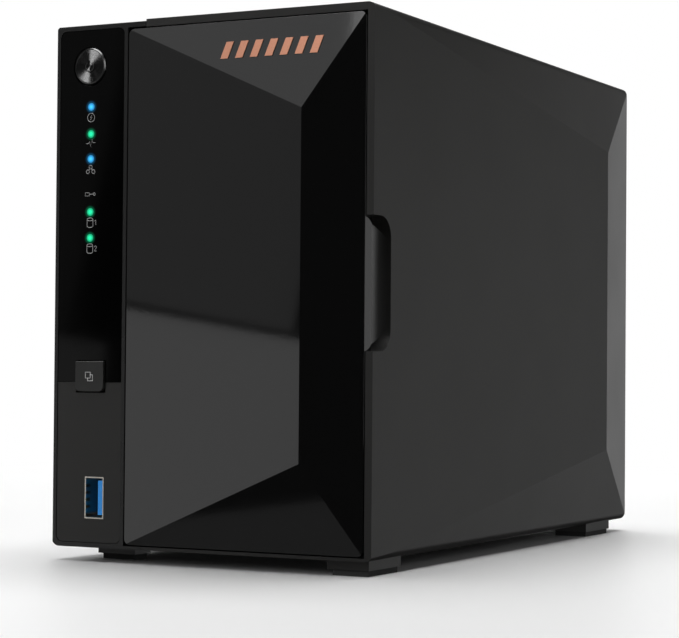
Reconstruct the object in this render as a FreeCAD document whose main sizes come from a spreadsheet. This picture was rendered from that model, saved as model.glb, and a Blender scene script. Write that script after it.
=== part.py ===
# Two-bay desktop storage enclosure, as separate pieces in one frame.
#
# The origin is at the middle of the footprint, on the surface that the feet stand on.  +Z is up, the door
# faces -Y and +X is to the right of somebody who looks at the door.  All sizes are in millimetres.

import FreeCAD, Part
import math
import os
import Sketcher
from types import SimpleNamespace

Vector = FreeCAD.Vector
doc = FreeCAD.newDocument("nas_enclosure")

# ----------------------------------------------------------------------------------------------------------
# Driving dimensions
# ----------------------------------------------------------------------------------------------------------

DIMENSIONS = {
    # case
    "overall_width": 114.0,
    "overall_depth": 230.0,
    "overall_height": 170.0,
    "foot_height": 4.4,
    "wall": 2.4,
    "corner_radius": 3.0,
    "rear_taper": 6.5,
    "ridge_setback": 37.5,
    "ridge_drop": 28.0,
    "ridge_rise": 27.6,
    "piece_gap": 0.2,
    # control column
    "column_width": 26.8,
    "column_depth": 12.0,
    "column_rim": 1.4,
    "column_web": 1.2,
    "panel_thick": 2.1,
    "panel_recess": 0.2,
    "panel_corner": 2.0,
    "lip_length": 6.7,
    "lip_thick": 1.6,
    "top_step": 0.6,
    "panel_split": 52.0,
    "split_gap": 0.15,
    # door
    "door_gap": 0.4,
    "door_edge": 4.3,
    "door_crown": 3.5,
    "door_corner": 2.0,
    "door_floor_lip": 1.0,
    "door_ridge_side": 20.0,
    "door_ridge_drop": 28.0,
    "door_ridge_rise": 27.0,
    "magnet_radius": 4.0,
    "magnet_thick": 2.5,
    "magnet_spread": 50.0,
    "magnet_inset": 7.5,
    "strike_thick": 0.9,
    # inlay on the door
    "badge_bars": 7,
    "badge_pitch": 5.2,
    "badge_bar": 2.6,
    "badge_slant": 1.8,
    "badge_height": 5.2,
    "badge_start": 34.5,
    "badge_drop": 11.6,
    "badge_proud": 0.25,
    "badge_depth": 0.6,
    # finger scoop
    "scoop_low": 62.1,
    "scoop_length": 40.3,
    "scoop_depth": 11.5,
    "scoop_reach": 7.8,
    "scoop_corner": 6.5,
    "scoop_wall": 1.6,
    # buttons, lights and front socket
    "button_across": 12.5,
    "power_height": 151.9,
    "power_radius": 5.9,
    "power_proud": 0.2,
    "copy_across": 13.85,
    "copy_height": 53.8,
    "copy_width": 10.5,
    "copy_tall": 9.6,
    "copy_corner": 1.6,
    "copy_proud": 0.8,
    "button_gap": 0.35,
    "button_flange": 0.9,
    "flange_thick": 1.2,
    "power_travel": 1.2,
    "copy_travel": 1.0,
    "light_across": 13.0,
    "power_light_drop": 12.8,
    "status_light_drop": 21.4,
    "network_light_drop": 29.3,
    "drive_1_light_drop": 46.1,
    "drive_2_light_drop": 54.3,
    "light_radius": 1.2,
    "light_gap": 0.05,
    "led_size": 2.0,
    "led_tall": 1.0,
    "board_thick": 1.6,
    "switch_size": 6.0,
    "switch_tall": 3.0,
    "plunger_radius": 1.7,
    "plunger_tall": 1.0,
    "usb_across": 15.6,
    "usb_height": 15.65,
    "usb_wide": 7.1,
    "usb_tall": 13.2,
    "usb_long": 14.0,
    "usb_sheet": 0.4,
    "usb_tongue": 1.8,
    "usb_tongue_gap": 0.8,
    # bays and trays
    "bay_offset": 40.0,
    "bay_height": 83.6,
    "tray_width": 34.8,
    "tray_spacing": 1.6,
    "tray_face": 126.0,
    "tray_face_thick": 2.5,
    "slot_edge": 6.0,
    "slot_rows": 5,
    "side_window_inset": 36.75,
    "side_window_tall": 50.8,
    "tray_sheet": 1.6,
    "bay_gap": 0.6,
    "frame_thick": 2.5,
    "frame_setback": 8.5,
    "rail_width": 10.0,
    "rail_height": 2.8,
    "guide_gap": 0.4,
    "guide_lip": 1.6,
    "guide_base": 1.0,
    "cage_sheet": 1.0,
    "divider_sheet": 0.6,
    "cage_flange": 13.0,
    # latches
    "latch_width": 22.0,
    "latch_length": 62.0,
    "latch_thick": 3.0,
    "latch_low": 35.0,
    "latch_gap": 0.4,
    "ear_thick": 2.0,
    "latch_pin": 0.6,
    "grip_length": 12.4,
    "grip_width": 11.0,
    "pin_clearance": 0.06,
    # drives, 3.5 inch form factor
    "drive_width": 101.6,
    "drive_length": 147.0,
    "drive_height": 26.1,
    "drive_cover": 1.5,
    "drive_nose_gap": 2.2,
    "drive_board_recess": 2.2,
    "drive_board_start": 73.5,
    "drive_screw_inset": 18.375,
    "drive_screw_long": 4.8,
    "drive_hole_inset": 3.2,
    "plug_width": 42.0,
    "plug_depth": 6.0,
    "plug_gap": 0.3,
    "screw_shank": 1.5,
    "screw_head": 2.8,
    "screw_head_tall": 1.2,
    # electronics
    "mainboard_inset": 7.2,
    "mainboard_front": 19.5,
    "mainboard_rear": 11.0,
    "mainboard_low": 9.6,
    "mainboard_tall": 136.0,
    "post_inset": 6.5,
    "post_edge": 13.0,
    "post_rear_inset": 13.0,
    "post_rear_edge": 26.0,
    "board_part_pitch": 13.0,
    "board_part_low": 13.0,
    "board_part_count": 4,
    "coil_side": 6.0,
    "coil_tall": 3.0,
    "can_radius": 3.0,
    "can_long": 8.0,
    "backplane_gap": 5.4,
    "backplane_edge": 6.5,
    "socket_deep": 8.0,
    "socket_tall": 50.0,
    "sink_side": 40.0,
    "sink_tall": 12.0,
    "sink_base": 3.0,
    "sink_fins": 9,
    "fin_thick": 1.4,
    "chip_tall": 1.4,
    "chip_side": 20.0,
    "memory_count": 4,
    "memory_pitch": 10.4,
    "memory_wide": 13.0,
    "memory_tall": 6.0,
    "memory_gap": 6.5,
    # rear
    "panel_setback": 3.2,
    "panel_sheet": 1.2,
    "panel_screw_inset": 5.04,
    "panel_screw_grip": 4.8,
    "lock_height": 13.0,
    "lock_inset": 2.8,
    "lock_wide": 6.0,
    "lock_tall": 3.0,
    "fan_side": 70.0,
    "fan_inset": 47.2,
    "fan_deep": 15.0,
    "fan_bore": 33.6,
    "fan_tip": 32.0,
    "fan_hub": 13.0,
    "fan_hole_pitch": 61.5,
    "fan_hole": 2.1,
    "fan_blades": 7,
    "fan_struts": 3,
    "strut_thick": 2.4,
    "bearing_start": 4.8,
    "bearing_radius": 3.0,
    "rotor_gap": 0.4,
    "rotor_rear_gap": 0.8,
    "blade_share": 0.9,
    "blade_tilt": 38,
    "fan_screw_head": 3.8,
    "fan_screw_tip": 1.0,
    "blade_thick": 1.2,
    "shaft_radius": 1.5,
    "grille_hole": 2.3,
    "grille_pitch": 6.4,
    "grille_rings": 5,
    "port_proud": 0.4,
    "lan_wide": 16.0,
    "lan_tall": 13.5,
    "lan_long": 22.0,
    "lan_height": 65.6,
    "lan_mouth_wide": 11.84,
    "lan_mouth_tall": 7.425,
    "lan_mouth_deep": 15.4,
    "lan_notch_wide": 6.4,
    "lan_notch_top": 11.475,
    "lan_notch_deep": 11.0,
    "dc_wide": 9.0,
    "dc_tall": 11.0,
    "dc_long": 14.0,
    "dc_hole": 3.2,
    "dc_pin": 1.0,
    "dc_height": 31.6,
    "reset_height": 135.6,
    "reset_radius": 1.2,
    "reset_travel": 0.8,
    "reset_stand": 8.0,
    "upper_usb_height": 113.6,
    "lower_usb_height": 93.6,
    # feet
    "plinth_height": 2.7,
    "foot_width": 14.0,
    "front_foot_length": 21.0,
    "rear_foot_length": 23.0,
    "rear_foot_setback": 18.2,
    "foot_inset": 1.5,
    "left_foot_inset": 9.3,
    "pad_inset": 1.8,
    # bottom vents
    "vent_width": 2.8,
    "vent_length": 42.0,
    "vent_pitch": 7.0,
    "vent_count": 11,
}


def number_sheet(table):
    """Write the driving dimensions into a sheet, one row each: name, value."""
    cells = doc.addObject("Spreadsheet::Sheet", "Sizes")
    for row, (alias, value) in enumerate(table.items(), start=1):
        cells.set(f"A{row}", alias)
        cells.set(f"B{row}", str(value))
        cells.setAlias(f"B{row}", alias)
    doc.recompute()
    return cells


class Size:
    """A length that holds its formula on the sheet together with its present value."""

    def __init__(self, formula, value):
        self.formula = formula
        self.value = float(value)

    def __add__(self, other):
        other = as_size(other)
        return Size(f"({self.formula} + {other.formula})", self.value + other.value)

    def __sub__(self, other):
        other = as_size(other)
        return Size(f"({self.formula} - {other.formula})", self.value - other.value)

    def __mul__(self, other):
        other = as_size(other)
        return Size(f"({self.formula} * {other.formula})", self.value * other.value)

    def __truediv__(self, other):
        other = as_size(other)
        return Size(f"({self.formula} / {other.formula})", self.value / other.value)

    def __neg__(self):
        return Size(f"(0 - {self.formula})", -self.value)


def as_size(quantity):
    """A plain number as a Size, and a Size as it is."""
    if isinstance(quantity, Size):
        return quantity
    return Size(f"({float(quantity)})", quantity)


sheet = number_sheet(DIMENSIONS)
dim = SimpleNamespace(**{alias: Size(f"Sizes.{alias}", sheet.get(alias)) for alias in DIMENSIONS})

# ----------------------------------------------------------------------------------------------------------
# Building blocks
# ----------------------------------------------------------------------------------------------------------

SHORT = 1.0     # how far a cutting tool runs past the face that it starts from
NEAR = 0.01     # how far apart two places may be and still count as the same
STRAIGHT = 0.99     # share of an edge's length along one axis for the edge to count as running along it
nodes = {}


def bind(thing, path, size):
    """Drive one property of an object from the sheet."""
    thing.setExpression(path, as_size(size).formula)


def place(thing, corner):
    """Drive an object's position from the sheet."""
    for letter, size in zip("xyz", corner):
        bind(thing, f"Placement.Base.{letter}", size)


def block(name, low, high):
    """A box between two opposite corners."""
    box = doc.addObject("Part::Box", name)
    for side, start, end in zip(("Length", "Width", "Height"), low, high):
        bind(box, side, as_size(end) - start)
    place(box, low)
    return box


TURNS = {
    "X": FreeCAD.Rotation(Vector(0, 1, 0), 90),
    "Y": FreeCAD.Rotation(Vector(1, 0, 0), -90),
    "Z": FreeCAD.Rotation(),
}


def rod(name, direction, start, radius, length):
    """A cylinder that runs from its start along +X, +Y or +Z."""
    cylinder = doc.addObject("Part::Cylinder", name)
    cylinder.Placement = FreeCAD.Placement(Vector(), TURNS[direction])
    bind(cylinder, "Radius", radius)
    bind(cylinder, "Height", length)
    place(cylinder, start)
    return cylinder


def fused(name, pieces):
    """Several solids joined into one."""
    union = doc.addObject("Part::MultiFuse", name)
    union.Shapes = pieces
    return union


def group(name, pieces):
    """Several separate solids kept together as one node."""
    compound = doc.addObject("Part::Compound", name)
    compound.Links = pieces
    return compound


def cut(name, base, tools):
    """One solid with others taken away from it."""
    tool = tools[0]
    if len(tools) > 1:
        tool = group(f"{name}_tools", tools)
    difference = doc.addObject("Part::Cut", name)
    difference.Base = base
    difference.Tool = tool
    return difference


def shared(name, first, second):
    """What two solids have in common."""
    overlap = doc.addObject("Part::Common", name)
    overlap.Base = first
    overlap.Tool = second
    return overlap


def moved(name, thing, offset):
    """A second copy of an object, shifted by an offset."""
    copy = group(name, [thing])
    place(copy, offset)
    return copy


def rounded(name, thing, radius, wanted):
    """A copy of a solid with a radius on each edge that wanted(start, end) picks."""
    doc.recompute()
    numbers = []
    for number, edge in enumerate(thing.Shape.Edges, start=1):
        ends = [corner.Point for corner in edge.Vertexes]
        if len(ends) == 2 and wanted(*ends):
            numbers.append(number)
    fillet = doc.addObject("Part::Fillet", name)
    fillet.Base = thing
    fillet.Edges = [(number, radius.value, radius.value) for number in numbers]
    return fillet


def along(axis, start, end):
    """Whether an edge runs along one of the axes, X, Y or Z."""
    step = end - start
    return step.Length > 0 and abs(getattr(step, axis.lower())) > STRAIGHT * step.Length


def at(point, **places):
    """Whether a point lies at the given coordinates."""
    return all(abs(getattr(point, letter) - as_size(size).value) < NEAR for letter, size in places.items())


def keep(node, thing):
    """Name a finished piece."""
    thing.Label = node
    nodes[node] = thing
    return thing


def body(name):
    """An empty body for sketched features."""
    return doc.addObject("PartDesign::Body", name)


def sketch(owner, name, role, offset):
    """An empty sketch on one of the body's own base planes, moved off it by an offset."""
    base = next(feature for feature in owner.Origin.OriginFeatures if feature.Role == role)
    drawing = owner.newObject("Sketcher::SketchObject", name)
    drawing.AttachmentSupport = [(base, "")]
    drawing.MapMode = "FlatFace"
    bind(drawing, "AttachmentOffset.Base.z", offset)
    return drawing


def hold(drawing, kind, geometry, point, size):
    """Fix a point of a sketch at a driven distance from the sketch's origin."""
    number = drawing.addConstraint(Sketcher.Constraint(kind, -1, 1, geometry, point, size.value))
    drawing.setExpression(f"Constraints[{number}]", size.formula)


def outline(drawing, corners):
    """A closed outline of straight lines through driven corners."""
    corners = [(as_size(across), as_size(up)) for across, up in corners]
    first = drawing.GeometryCount
    count = len(corners)
    for number, (across, up) in enumerate(corners):
        next_across, next_up = corners[(number + 1) % count]
        start = Vector(across.value, up.value, 0)
        end = Vector(next_across.value, next_up.value, 0)
        drawing.addGeometry(Part.LineSegment(start, end))
    for number, (across, up) in enumerate(corners):
        line = first + number
        following = first + (number + 1) % count
        drawing.addConstraint(Sketcher.Constraint("Coincident", line, 2, following, 1))
        hold(drawing, "DistanceX", line, 1, across)
        hold(drawing, "DistanceY", line, 1, up)


def rectangle(drawing, low, high):
    """A driven rectangle between two opposite corners."""
    outline(drawing, [low, (high[0], low[1]), high, (low[0], high[1])])


def circle(drawing, centre, radius):
    """A driven circle."""
    across, up, radius = (as_size(size) for size in (*centre, radius))
    middle = Vector(across.value, up.value, 0)
    ring = drawing.addGeometry(Part.Circle(middle, Vector(0, 0, 1), radius.value))
    number = drawing.addConstraint(Sketcher.Constraint("Radius", ring, radius.value))
    drawing.setExpression(f"Constraints[{number}]", radius.formula)
    hold(drawing, "DistanceX", ring, 3, across)
    hold(drawing, "DistanceY", ring, 3, up)


def pad(owner, drawing, length):
    """Raise a sketch along its normal."""
    feature = owner.newObject("PartDesign::Pad", f"{drawing.Name}_pad")
    feature.Profile = drawing
    bind(feature, "Length", length)
    drawing.Visibility = False
    return feature


def pocket(owner, drawing):
    """Cut a sketch right through the body, both ways, and make sure that it cut something."""
    doc.recompute()
    before = owner.Shape.Volume
    feature = owner.newObject("PartDesign::Pocket", f"{drawing.Name}_pocket")
    feature.Profile = drawing
    feature.Type = "ThroughAll"
    feature.Midplane = True
    doc.recompute()
    if owner.Shape.Volume >= before:
        raise RuntimeError(f"{drawing.Name} cuts nothing")
    return feature


def round_body(owner, radius, wanted):
    """Round those edges of a body that wanted(start, end) picks."""
    doc.recompute()
    base = owner.Tip
    names = []
    for number, edge in enumerate(base.Shape.Edges, start=1):
        ends = [corner.Point for corner in edge.Vertexes]
        if len(ends) == 2 and wanted(*ends):
            names.append(f"Edge{number}")
    fillet = owner.newObject("PartDesign::Fillet", f"{owner.Name}_rounds")
    fillet.Base = (base, names)
    bind(fillet, "Radius", radius)
    return fillet


def upright_plate(name, y_front, y_back, low, high):
    """A body that starts as a rectangular plate parallel to the front of the case."""
    plate = body(name)
    face = sketch(plate, f"{name}_face", "XZ_Plane", -y_back)
    rectangle(face, low, high)
    pad(plate, face, y_back - y_front)
    return plate


# ----------------------------------------------------------------------------------------------------------
# Reference places
# ----------------------------------------------------------------------------------------------------------

half_width = dim.overall_width / 2
left, right = -half_width, half_width
bay_middle = left + dim.column_width + dim.bay_offset
rear = dim.overall_depth / 2
front = dim.door_crown - rear
bottom = dim.foot_height
top = dim.overall_height
column_right = left + dim.column_width
seam = column_right + dim.lip_length
column_back = front + dim.column_depth
column_top = top - dim.top_step


# ----------------------------------------------------------------------------------------------------------
# Case: two moulded shells with faceted sides
# ----------------------------------------------------------------------------------------------------------

def faceted_block(name, inset, extra):
    """A box with three flat facets on each side, moved inwards by inset and run past both ends by extra."""
    y_front, y_rear = front.value - extra, rear.value + extra
    z_low, z_high = bottom.value + inset, top.value - inset
    half = half_width.value - inset
    ridge_y = rear.value - dim.ridge_setback.value
    slope = dim.rear_taper.value / dim.ridge_setback.value
    rear_half = half - slope * (y_rear - ridge_y)
    ridge_low = bottom.value + dim.ridge_rise.value
    ridge_high = top.value - dim.ridge_drop.value
    solid = Part.makeBox(2 * half, y_rear - y_front, z_high - z_low, Vector(-half, y_front, z_low))
    reach = 2 * (half + y_rear + z_high)
    for side in (1, -1):
        front_top = Vector(side * half, y_front, z_high)
        front_low = Vector(side * half, y_front, z_low)
        rear_top = Vector(side * rear_half, y_rear, z_high)
        rear_low = Vector(side * rear_half, y_rear, z_low)
        ridge_top = Vector(side * half, ridge_y, ridge_high)
        ridge_bottom = Vector(side * half, ridge_y, ridge_low)
        facets = (
            (front_top, ridge_top, rear_top),
            (ridge_top, ridge_bottom, rear_top),
            (ridge_bottom, front_low, rear_low),
        )
        for first, second, third in facets:
            normal = (second - first).cross(third - first).normalize()
            if normal.x * side < 0:
                normal = -normal
            face = Part.Plane(first, normal).toShape(-reach, reach, -reach, reach)
            solid = solid.cut(face.extrude(normal * reach))
    facet_block = doc.addObject("Part::Feature", name)
    facet_block.Shape = solid
    return facet_block


def case_edge(start, end):
    """The long edges at the top and bottom corners, and the upright edges at the rear."""
    long_edge = abs(start.y - end.y) > dim.overall_depth.value / 2 and abs(start.z - end.z) < NEAR
    rear_edge = at(start, y=rear) and at(end, y=rear) and along("Z", start, end)
    return long_edge or rear_edge


case_outside = rounded("case_outside", faceted_block("case_block", 0.0, 0.0), dim.corner_radius, case_edge)
case_inside = faceted_block("case_hollow", dim.wall.value, SHORT)
case_tube = cut("case_tube", case_outside, [case_inside])

left_room = block(
    "left_room",
    (left - SHORT, column_back + dim.piece_gap / 2, bottom - SHORT),
    (seam - dim.piece_gap / 2, rear + SHORT, column_top),
)
left_shell = shared("left_shell_walls", case_tube, left_room)


def foot(name, x_low, x_high, y_low, length):
    """A plinth moulded under the case, with its top face on the case's underside."""
    low = (x_low, y_low, bottom - dim.plinth_height)
    return block(name, low, (x_high, y_low + length, bottom + dim.wall / 2))


front_foot_y = front + dim.foot_inset
rear_foot_y = rear - dim.rear_foot_setback - dim.rear_foot_length
left_foot_x = left + dim.left_foot_inset
right_foot_x = right - dim.foot_inset - dim.foot_width
rear_right_foot_x = right - dim.rear_taper - dim.foot_width
feet = (
    ("front_left", left_foot_x, column_back + dim.piece_gap, dim.front_foot_length - dim.column_depth),
    ("rear_left", left_foot_x, rear_foot_y, dim.rear_foot_length),
    ("front_right", right_foot_x, front_foot_y, dim.front_foot_length),
    ("rear_right", rear_right_foot_x, rear_foot_y, dim.rear_foot_length),
)
plinths = {}
pads = []
for corner, foot_x, foot_y, length in feet:
    plinths[corner] = foot(f"plinth_{corner}", foot_x, foot_x + dim.foot_width, foot_y, length)
    pads.append(block(
        f"pad_{corner}",
        (foot_x + dim.pad_inset, foot_y + dim.piece_gap, 0),
        (foot_x + dim.foot_width - dim.piece_gap, foot_y + length - dim.pad_inset,
         bottom - dim.plinth_height),
    ))
keep("rubber_feet", group("foot_pads", pads))
keep("left_shell", fused("left_shell_body", [left_shell, plinths["front_left"], plinths["rear_left"]]))

right_room = block("right_room", (seam + dim.piece_gap / 2, front - SHORT, bottom - SHORT),
                   (right + SHORT, rear + SHORT, top + SHORT))
right_walls = shared("right_walls", case_tube, right_room)

door_back = front + dim.door_edge
scoop_low = bottom + dim.scoop_low
scoop_high = scoop_low + dim.scoop_length
scoop_back = front + dim.scoop_depth
scoop_x = right - dim.scoop_reach
scoop_cup = block(
    "scoop_cup",
    (scoop_x - dim.scoop_wall, door_back + dim.piece_gap, scoop_low - dim.scoop_wall),
    (right - dim.wall / 2, scoop_back + dim.scoop_wall, scoop_high + dim.scoop_wall),
)
scoop_tool = rounded(
    "scoop_tool",
    block("scoop_space", (scoop_x, front - SHORT, scoop_low), (right + SHORT, scoop_back, scoop_high)),
    dim.scoop_corner,
    lambda start, end: at(start, y=scoop_back) and at(end, y=scoop_back) and not at(start, x=right + SHORT)
    or along("X", start, end) and at(start, y=scoop_back),
)
door_floor = block(
    "door_floor",
    (seam, front - SHORT, bottom + dim.door_floor_lip),
    (right - dim.wall, door_back + dim.piece_gap, bottom + dim.wall + SHORT),
)
vents = []
vent_x = bay_middle - dim.vent_pitch * ((dim.vent_count.value - 1) / 2)
for number in range(int(dim.vent_count.value)):
    slot_x = vent_x + dim.vent_pitch * number
    vents.append(block(
        f"vent_{number + 1}",
        (slot_x - dim.vent_width / 2, -dim.vent_length / 2, bottom - SHORT),
        (slot_x + dim.vent_width / 2, dim.vent_length / 2, bottom + dim.wall + SHORT),
    ))
right_solid = fused("right_solid", [right_walls, scoop_cup, plinths["front_right"], plinths["rear_right"]])
keep("right_shell", cut("right_shell_body", right_solid, [scoop_tool, door_floor, *vents]))

# ----------------------------------------------------------------------------------------------------------
# Front bezel: the rim of the control column and the frame around the bays, in one moulding
# ----------------------------------------------------------------------------------------------------------

panel_left = left + dim.column_rim
panel_right = column_right - dim.column_rim
panel_low = bottom + dim.lip_thick
panel_high = column_top - dim.lip_thick
panel_front = front + dim.panel_recess
panel_back = panel_front + dim.panel_thick
web_back = panel_back + dim.column_web
frame_front = front + dim.frame_setback
frame_back = frame_front + dim.frame_thick
inside_low = bottom + dim.wall + dim.piece_gap
inside_high = top - dim.wall - dim.piece_gap
inside_right = right - dim.wall - dim.piece_gap

tray_pitch = dim.tray_width + dim.tray_spacing
bay_middle_z = bottom + dim.bay_height
bays_left = bay_middle - tray_pitch / 2 - dim.tray_width / 2 - dim.bay_gap
bays_right = bay_middle + tray_pitch / 2 + dim.tray_width / 2 + dim.bay_gap
bays_low = bay_middle_z - dim.tray_face / 2 - dim.bay_gap
bays_high = bay_middle_z + dim.tray_face / 2 + dim.bay_gap

column_room = fused("column_room", [
    block("column_space", (left - SHORT, front, bottom - SHORT), (column_right, column_back, column_top)),
    block("top_lip_space", (column_right - SHORT, front, column_top - dim.lip_thick),
          (seam - dim.piece_gap / 2, column_back, column_top)),
    block("low_lip_space", (column_right - SHORT, front, bottom - SHORT),
          (seam - dim.piece_gap / 2, column_back, bottom + dim.door_floor_lip)),
])
column = shared("column", case_outside, column_room)
frame_taper = dim.rear_taper * (frame_back - front) / (rear - front)
bay_frame = block("bay_frame", (column_right - SHORT, frame_front, inside_low),
                  (inside_right - frame_taper, frame_back, inside_high))
magnet_x = bay_middle
magnet_places = [
    (magnet_x + dim.magnet_spread / 2 * side, height)
    for height in (inside_low + dim.magnet_inset, inside_high - dim.magnet_inset)
    for side in (-1, 1)
]
strike_front = door_back + dim.piece_gap
strike_back = strike_front + dim.strike_thick
bosses = [
    rod(f"strike_boss_{number}", "Y", (x, strike_back, z), dim.magnet_radius + SHORT,
        frame_front - strike_back)
    for number, (x, z) in enumerate(magnet_places, start=1)
]
strikes = [
    rod(f"strike_{number}", "Y", (x, strike_front, z), dim.magnet_radius, dim.strike_thick)
    for number, (x, z) in enumerate(magnet_places, start=1)
]
keep("strike_plates", group("strike_discs", strikes))


def panel_block(name, y_front, y_back, spread):
    """The room of the column's panels, with rounded outer corners, made wider all round by spread."""
    low = (panel_left - spread, y_front, panel_low - spread)
    high = (panel_right + spread, y_back, panel_high + spread)
    plain = block(name, low, high)
    return rounded(f"{name}_rounded", plain, dim.panel_corner, lambda start, end: along("Y", start, end))


panel_room = panel_block("panel_room", front - SHORT, panel_back, dim.split_gap)
column_hollow = block(
    "column_hollow",
    (left + dim.wall, web_back, panel_low + dim.column_rim),
    (column_right - dim.column_rim, column_back + SHORT, panel_high - dim.column_rim),
)
button_x = left + dim.button_across
power_z = bottom + dim.power_height
copy_x = left + dim.copy_across
copy_z = bottom + dim.copy_height
light_x = left + dim.light_across
usb_x = left + dim.usb_across
usb_z = bottom + dim.usb_height
light_drops = (dim.power_light_drop, dim.status_light_drop, dim.network_light_drop,
               dim.drive_1_light_drop, dim.drive_2_light_drop)


def copy_block(name, y_front, y_back, spread):
    """The copy button's outline, made wider all round by spread."""
    half_wide = dim.copy_width / 2 + spread
    half_tall = dim.copy_tall / 2 + spread
    return block(name, (copy_x - half_wide, y_front, copy_z - half_tall),
                 (copy_x + half_wide, y_back, copy_z + half_tall))


light_holes = [
    rod(f"light_hole_{number}", "Y", (light_x, front - SHORT, power_z - drop),
        dim.light_radius + dim.light_gap, dim.column_depth)
    for number, drop in enumerate(light_drops, start=1)
]
power_hole = rod("power_hole", "Y", (button_x, front - SHORT, power_z), dim.power_radius + dim.button_gap,
                 dim.column_depth)
copy_hole = copy_block("copy_hole", front - SHORT, column_back, dim.button_gap)
usb_hole = block(
    "usb_hole",
    (usb_x - dim.usb_wide / 2 - dim.split_gap, front - SHORT, usb_z - dim.usb_tall / 2 - dim.split_gap),
    (usb_x + dim.usb_wide / 2 + dim.split_gap, column_back + dim.usb_long,
     usb_z + dim.usb_tall / 2 + dim.split_gap),
)
bay_opening = block("bay_opening", (bays_left, frame_front - SHORT, bays_low),
                    (bays_right, frame_back + SHORT, bays_high))
scoop_room = block(
    "scoop_room",
    (scoop_x - dim.scoop_wall - dim.piece_gap, frame_front - SHORT,
     scoop_low - dim.scoop_wall - dim.piece_gap),
    (right, frame_back + SHORT, scoop_high + dim.scoop_wall + dim.piece_gap),
)
bezel_solid = fused("bezel_solid", [column, bay_frame, *bosses])
front_openings = [power_hole, copy_hole, usb_hole, *light_holes]
bezel_tools = [panel_room, column_hollow, bay_opening, scoop_room, *front_openings]

# ----------------------------------------------------------------------------------------------------------
# Control column: glossy window above, satin panel below
# ----------------------------------------------------------------------------------------------------------

panel_split = bottom + dim.panel_split
panel_plate = panel_block("panel_plate", panel_front, panel_back, Size("0", 0))
window_room = block("window_room", (left, front - SHORT, panel_split + dim.split_gap / 2),
                    (column_right, panel_back, top))
lower_room = block("lower_room", (left, front - SHORT, bottom),
                   (column_right, panel_back, panel_split - dim.split_gap / 2))
panels_cut = cut("panels_cut", panel_plate, front_openings)
keep("strip_window", shared("window_plate", panels_cut, window_room))
keep("strip_lower_panel", shared("lower_plate", panels_cut, lower_room))

# ----------------------------------------------------------------------------------------------------------
# Front board with its lights and switches
# ----------------------------------------------------------------------------------------------------------

front_board_y = column_back - dim.board_thick
board_plate = block(
    "front_board_plate",
    (left + dim.wall + dim.piece_gap, front_board_y, panel_low + dim.column_rim + dim.piece_gap),
    (column_right - dim.column_rim - dim.piece_gap, column_back,
     panel_high - dim.column_rim - dim.piece_gap),
)
keep("front_board", cut("front_board_body", board_plate, [usb_hole]))
led_front = front_board_y - dim.led_tall
guides = []
leds = []
for number, drop in enumerate(light_drops, start=1):
    height = power_z - drop
    half_led = dim.led_size / 2
    guides.append(rod(f"guide_{number}", "Y", (light_x, panel_front, height), dim.light_radius,
                      led_front - panel_front))
    leds.append(block(f"led_{number}", (light_x - half_led, led_front, height - half_led),
                      (light_x + half_led, front_board_y, height + half_led)))
keep("light_guides", group("guide_rods", guides))
keep("indicator_leds", group("led_chips", leds))


def switch(name, x, z, y_back):
    """A push switch on a board: square can with a round plunger."""
    half = dim.switch_size / 2
    y_can = y_back - dim.switch_tall
    can = block(f"{name}_can", (x - half, y_can, z - half), (x + half, y_back, z + half))
    y_tip = y_can - dim.plunger_tall
    plunger = rod(f"{name}_plunger", "Y", (x, y_tip, z), dim.plunger_radius, dim.plunger_tall)
    return fused(f"{name}_body", [can, plunger])


keep("power_switch", switch("power_switch", button_x, power_z, front_board_y))
keep("copy_switch", switch("copy_switch", copy_x, copy_z, front_board_y))

# ----------------------------------------------------------------------------------------------------------
# Buttons: each passes through the panel and is held by a flange behind the web
# ----------------------------------------------------------------------------------------------------------

flange_front = web_back + dim.button_gap
flange_back = flange_front + dim.flange_thick
power_front = front - dim.power_proud
power_key = body("power_key")
power_face = sketch(power_key, "power_face", "XZ_Plane", -flange_back)
circle(power_face, (button_x, power_z), dim.power_radius)
pad(power_key, power_face, flange_back - power_front)
power_rim = sketch(power_key, "power_rim", "XZ_Plane", -flange_back)
circle(power_rim, (button_x, power_z), dim.power_radius + dim.button_flange)
pad(power_key, power_rim, dim.flange_thick)
keep("power_button", power_key)

copy_cap = rounded(
    "copy_cap",
    copy_block("copy_key", front - dim.copy_proud, flange_back, Size("0", 0)),
    dim.copy_corner,
    lambda start, end: along("Y", start, end) and start.z < copy_z.value,
)
copy_flange = copy_block("copy_flange", flange_front, flange_back, dim.button_flange)
keep("copy_button", fused("copy_body", [copy_cap, copy_flange]))


# ----------------------------------------------------------------------------------------------------------
# USB sockets: folded steel shell, open at the mouth, with a tongue along one long side
# ----------------------------------------------------------------------------------------------------------

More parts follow.
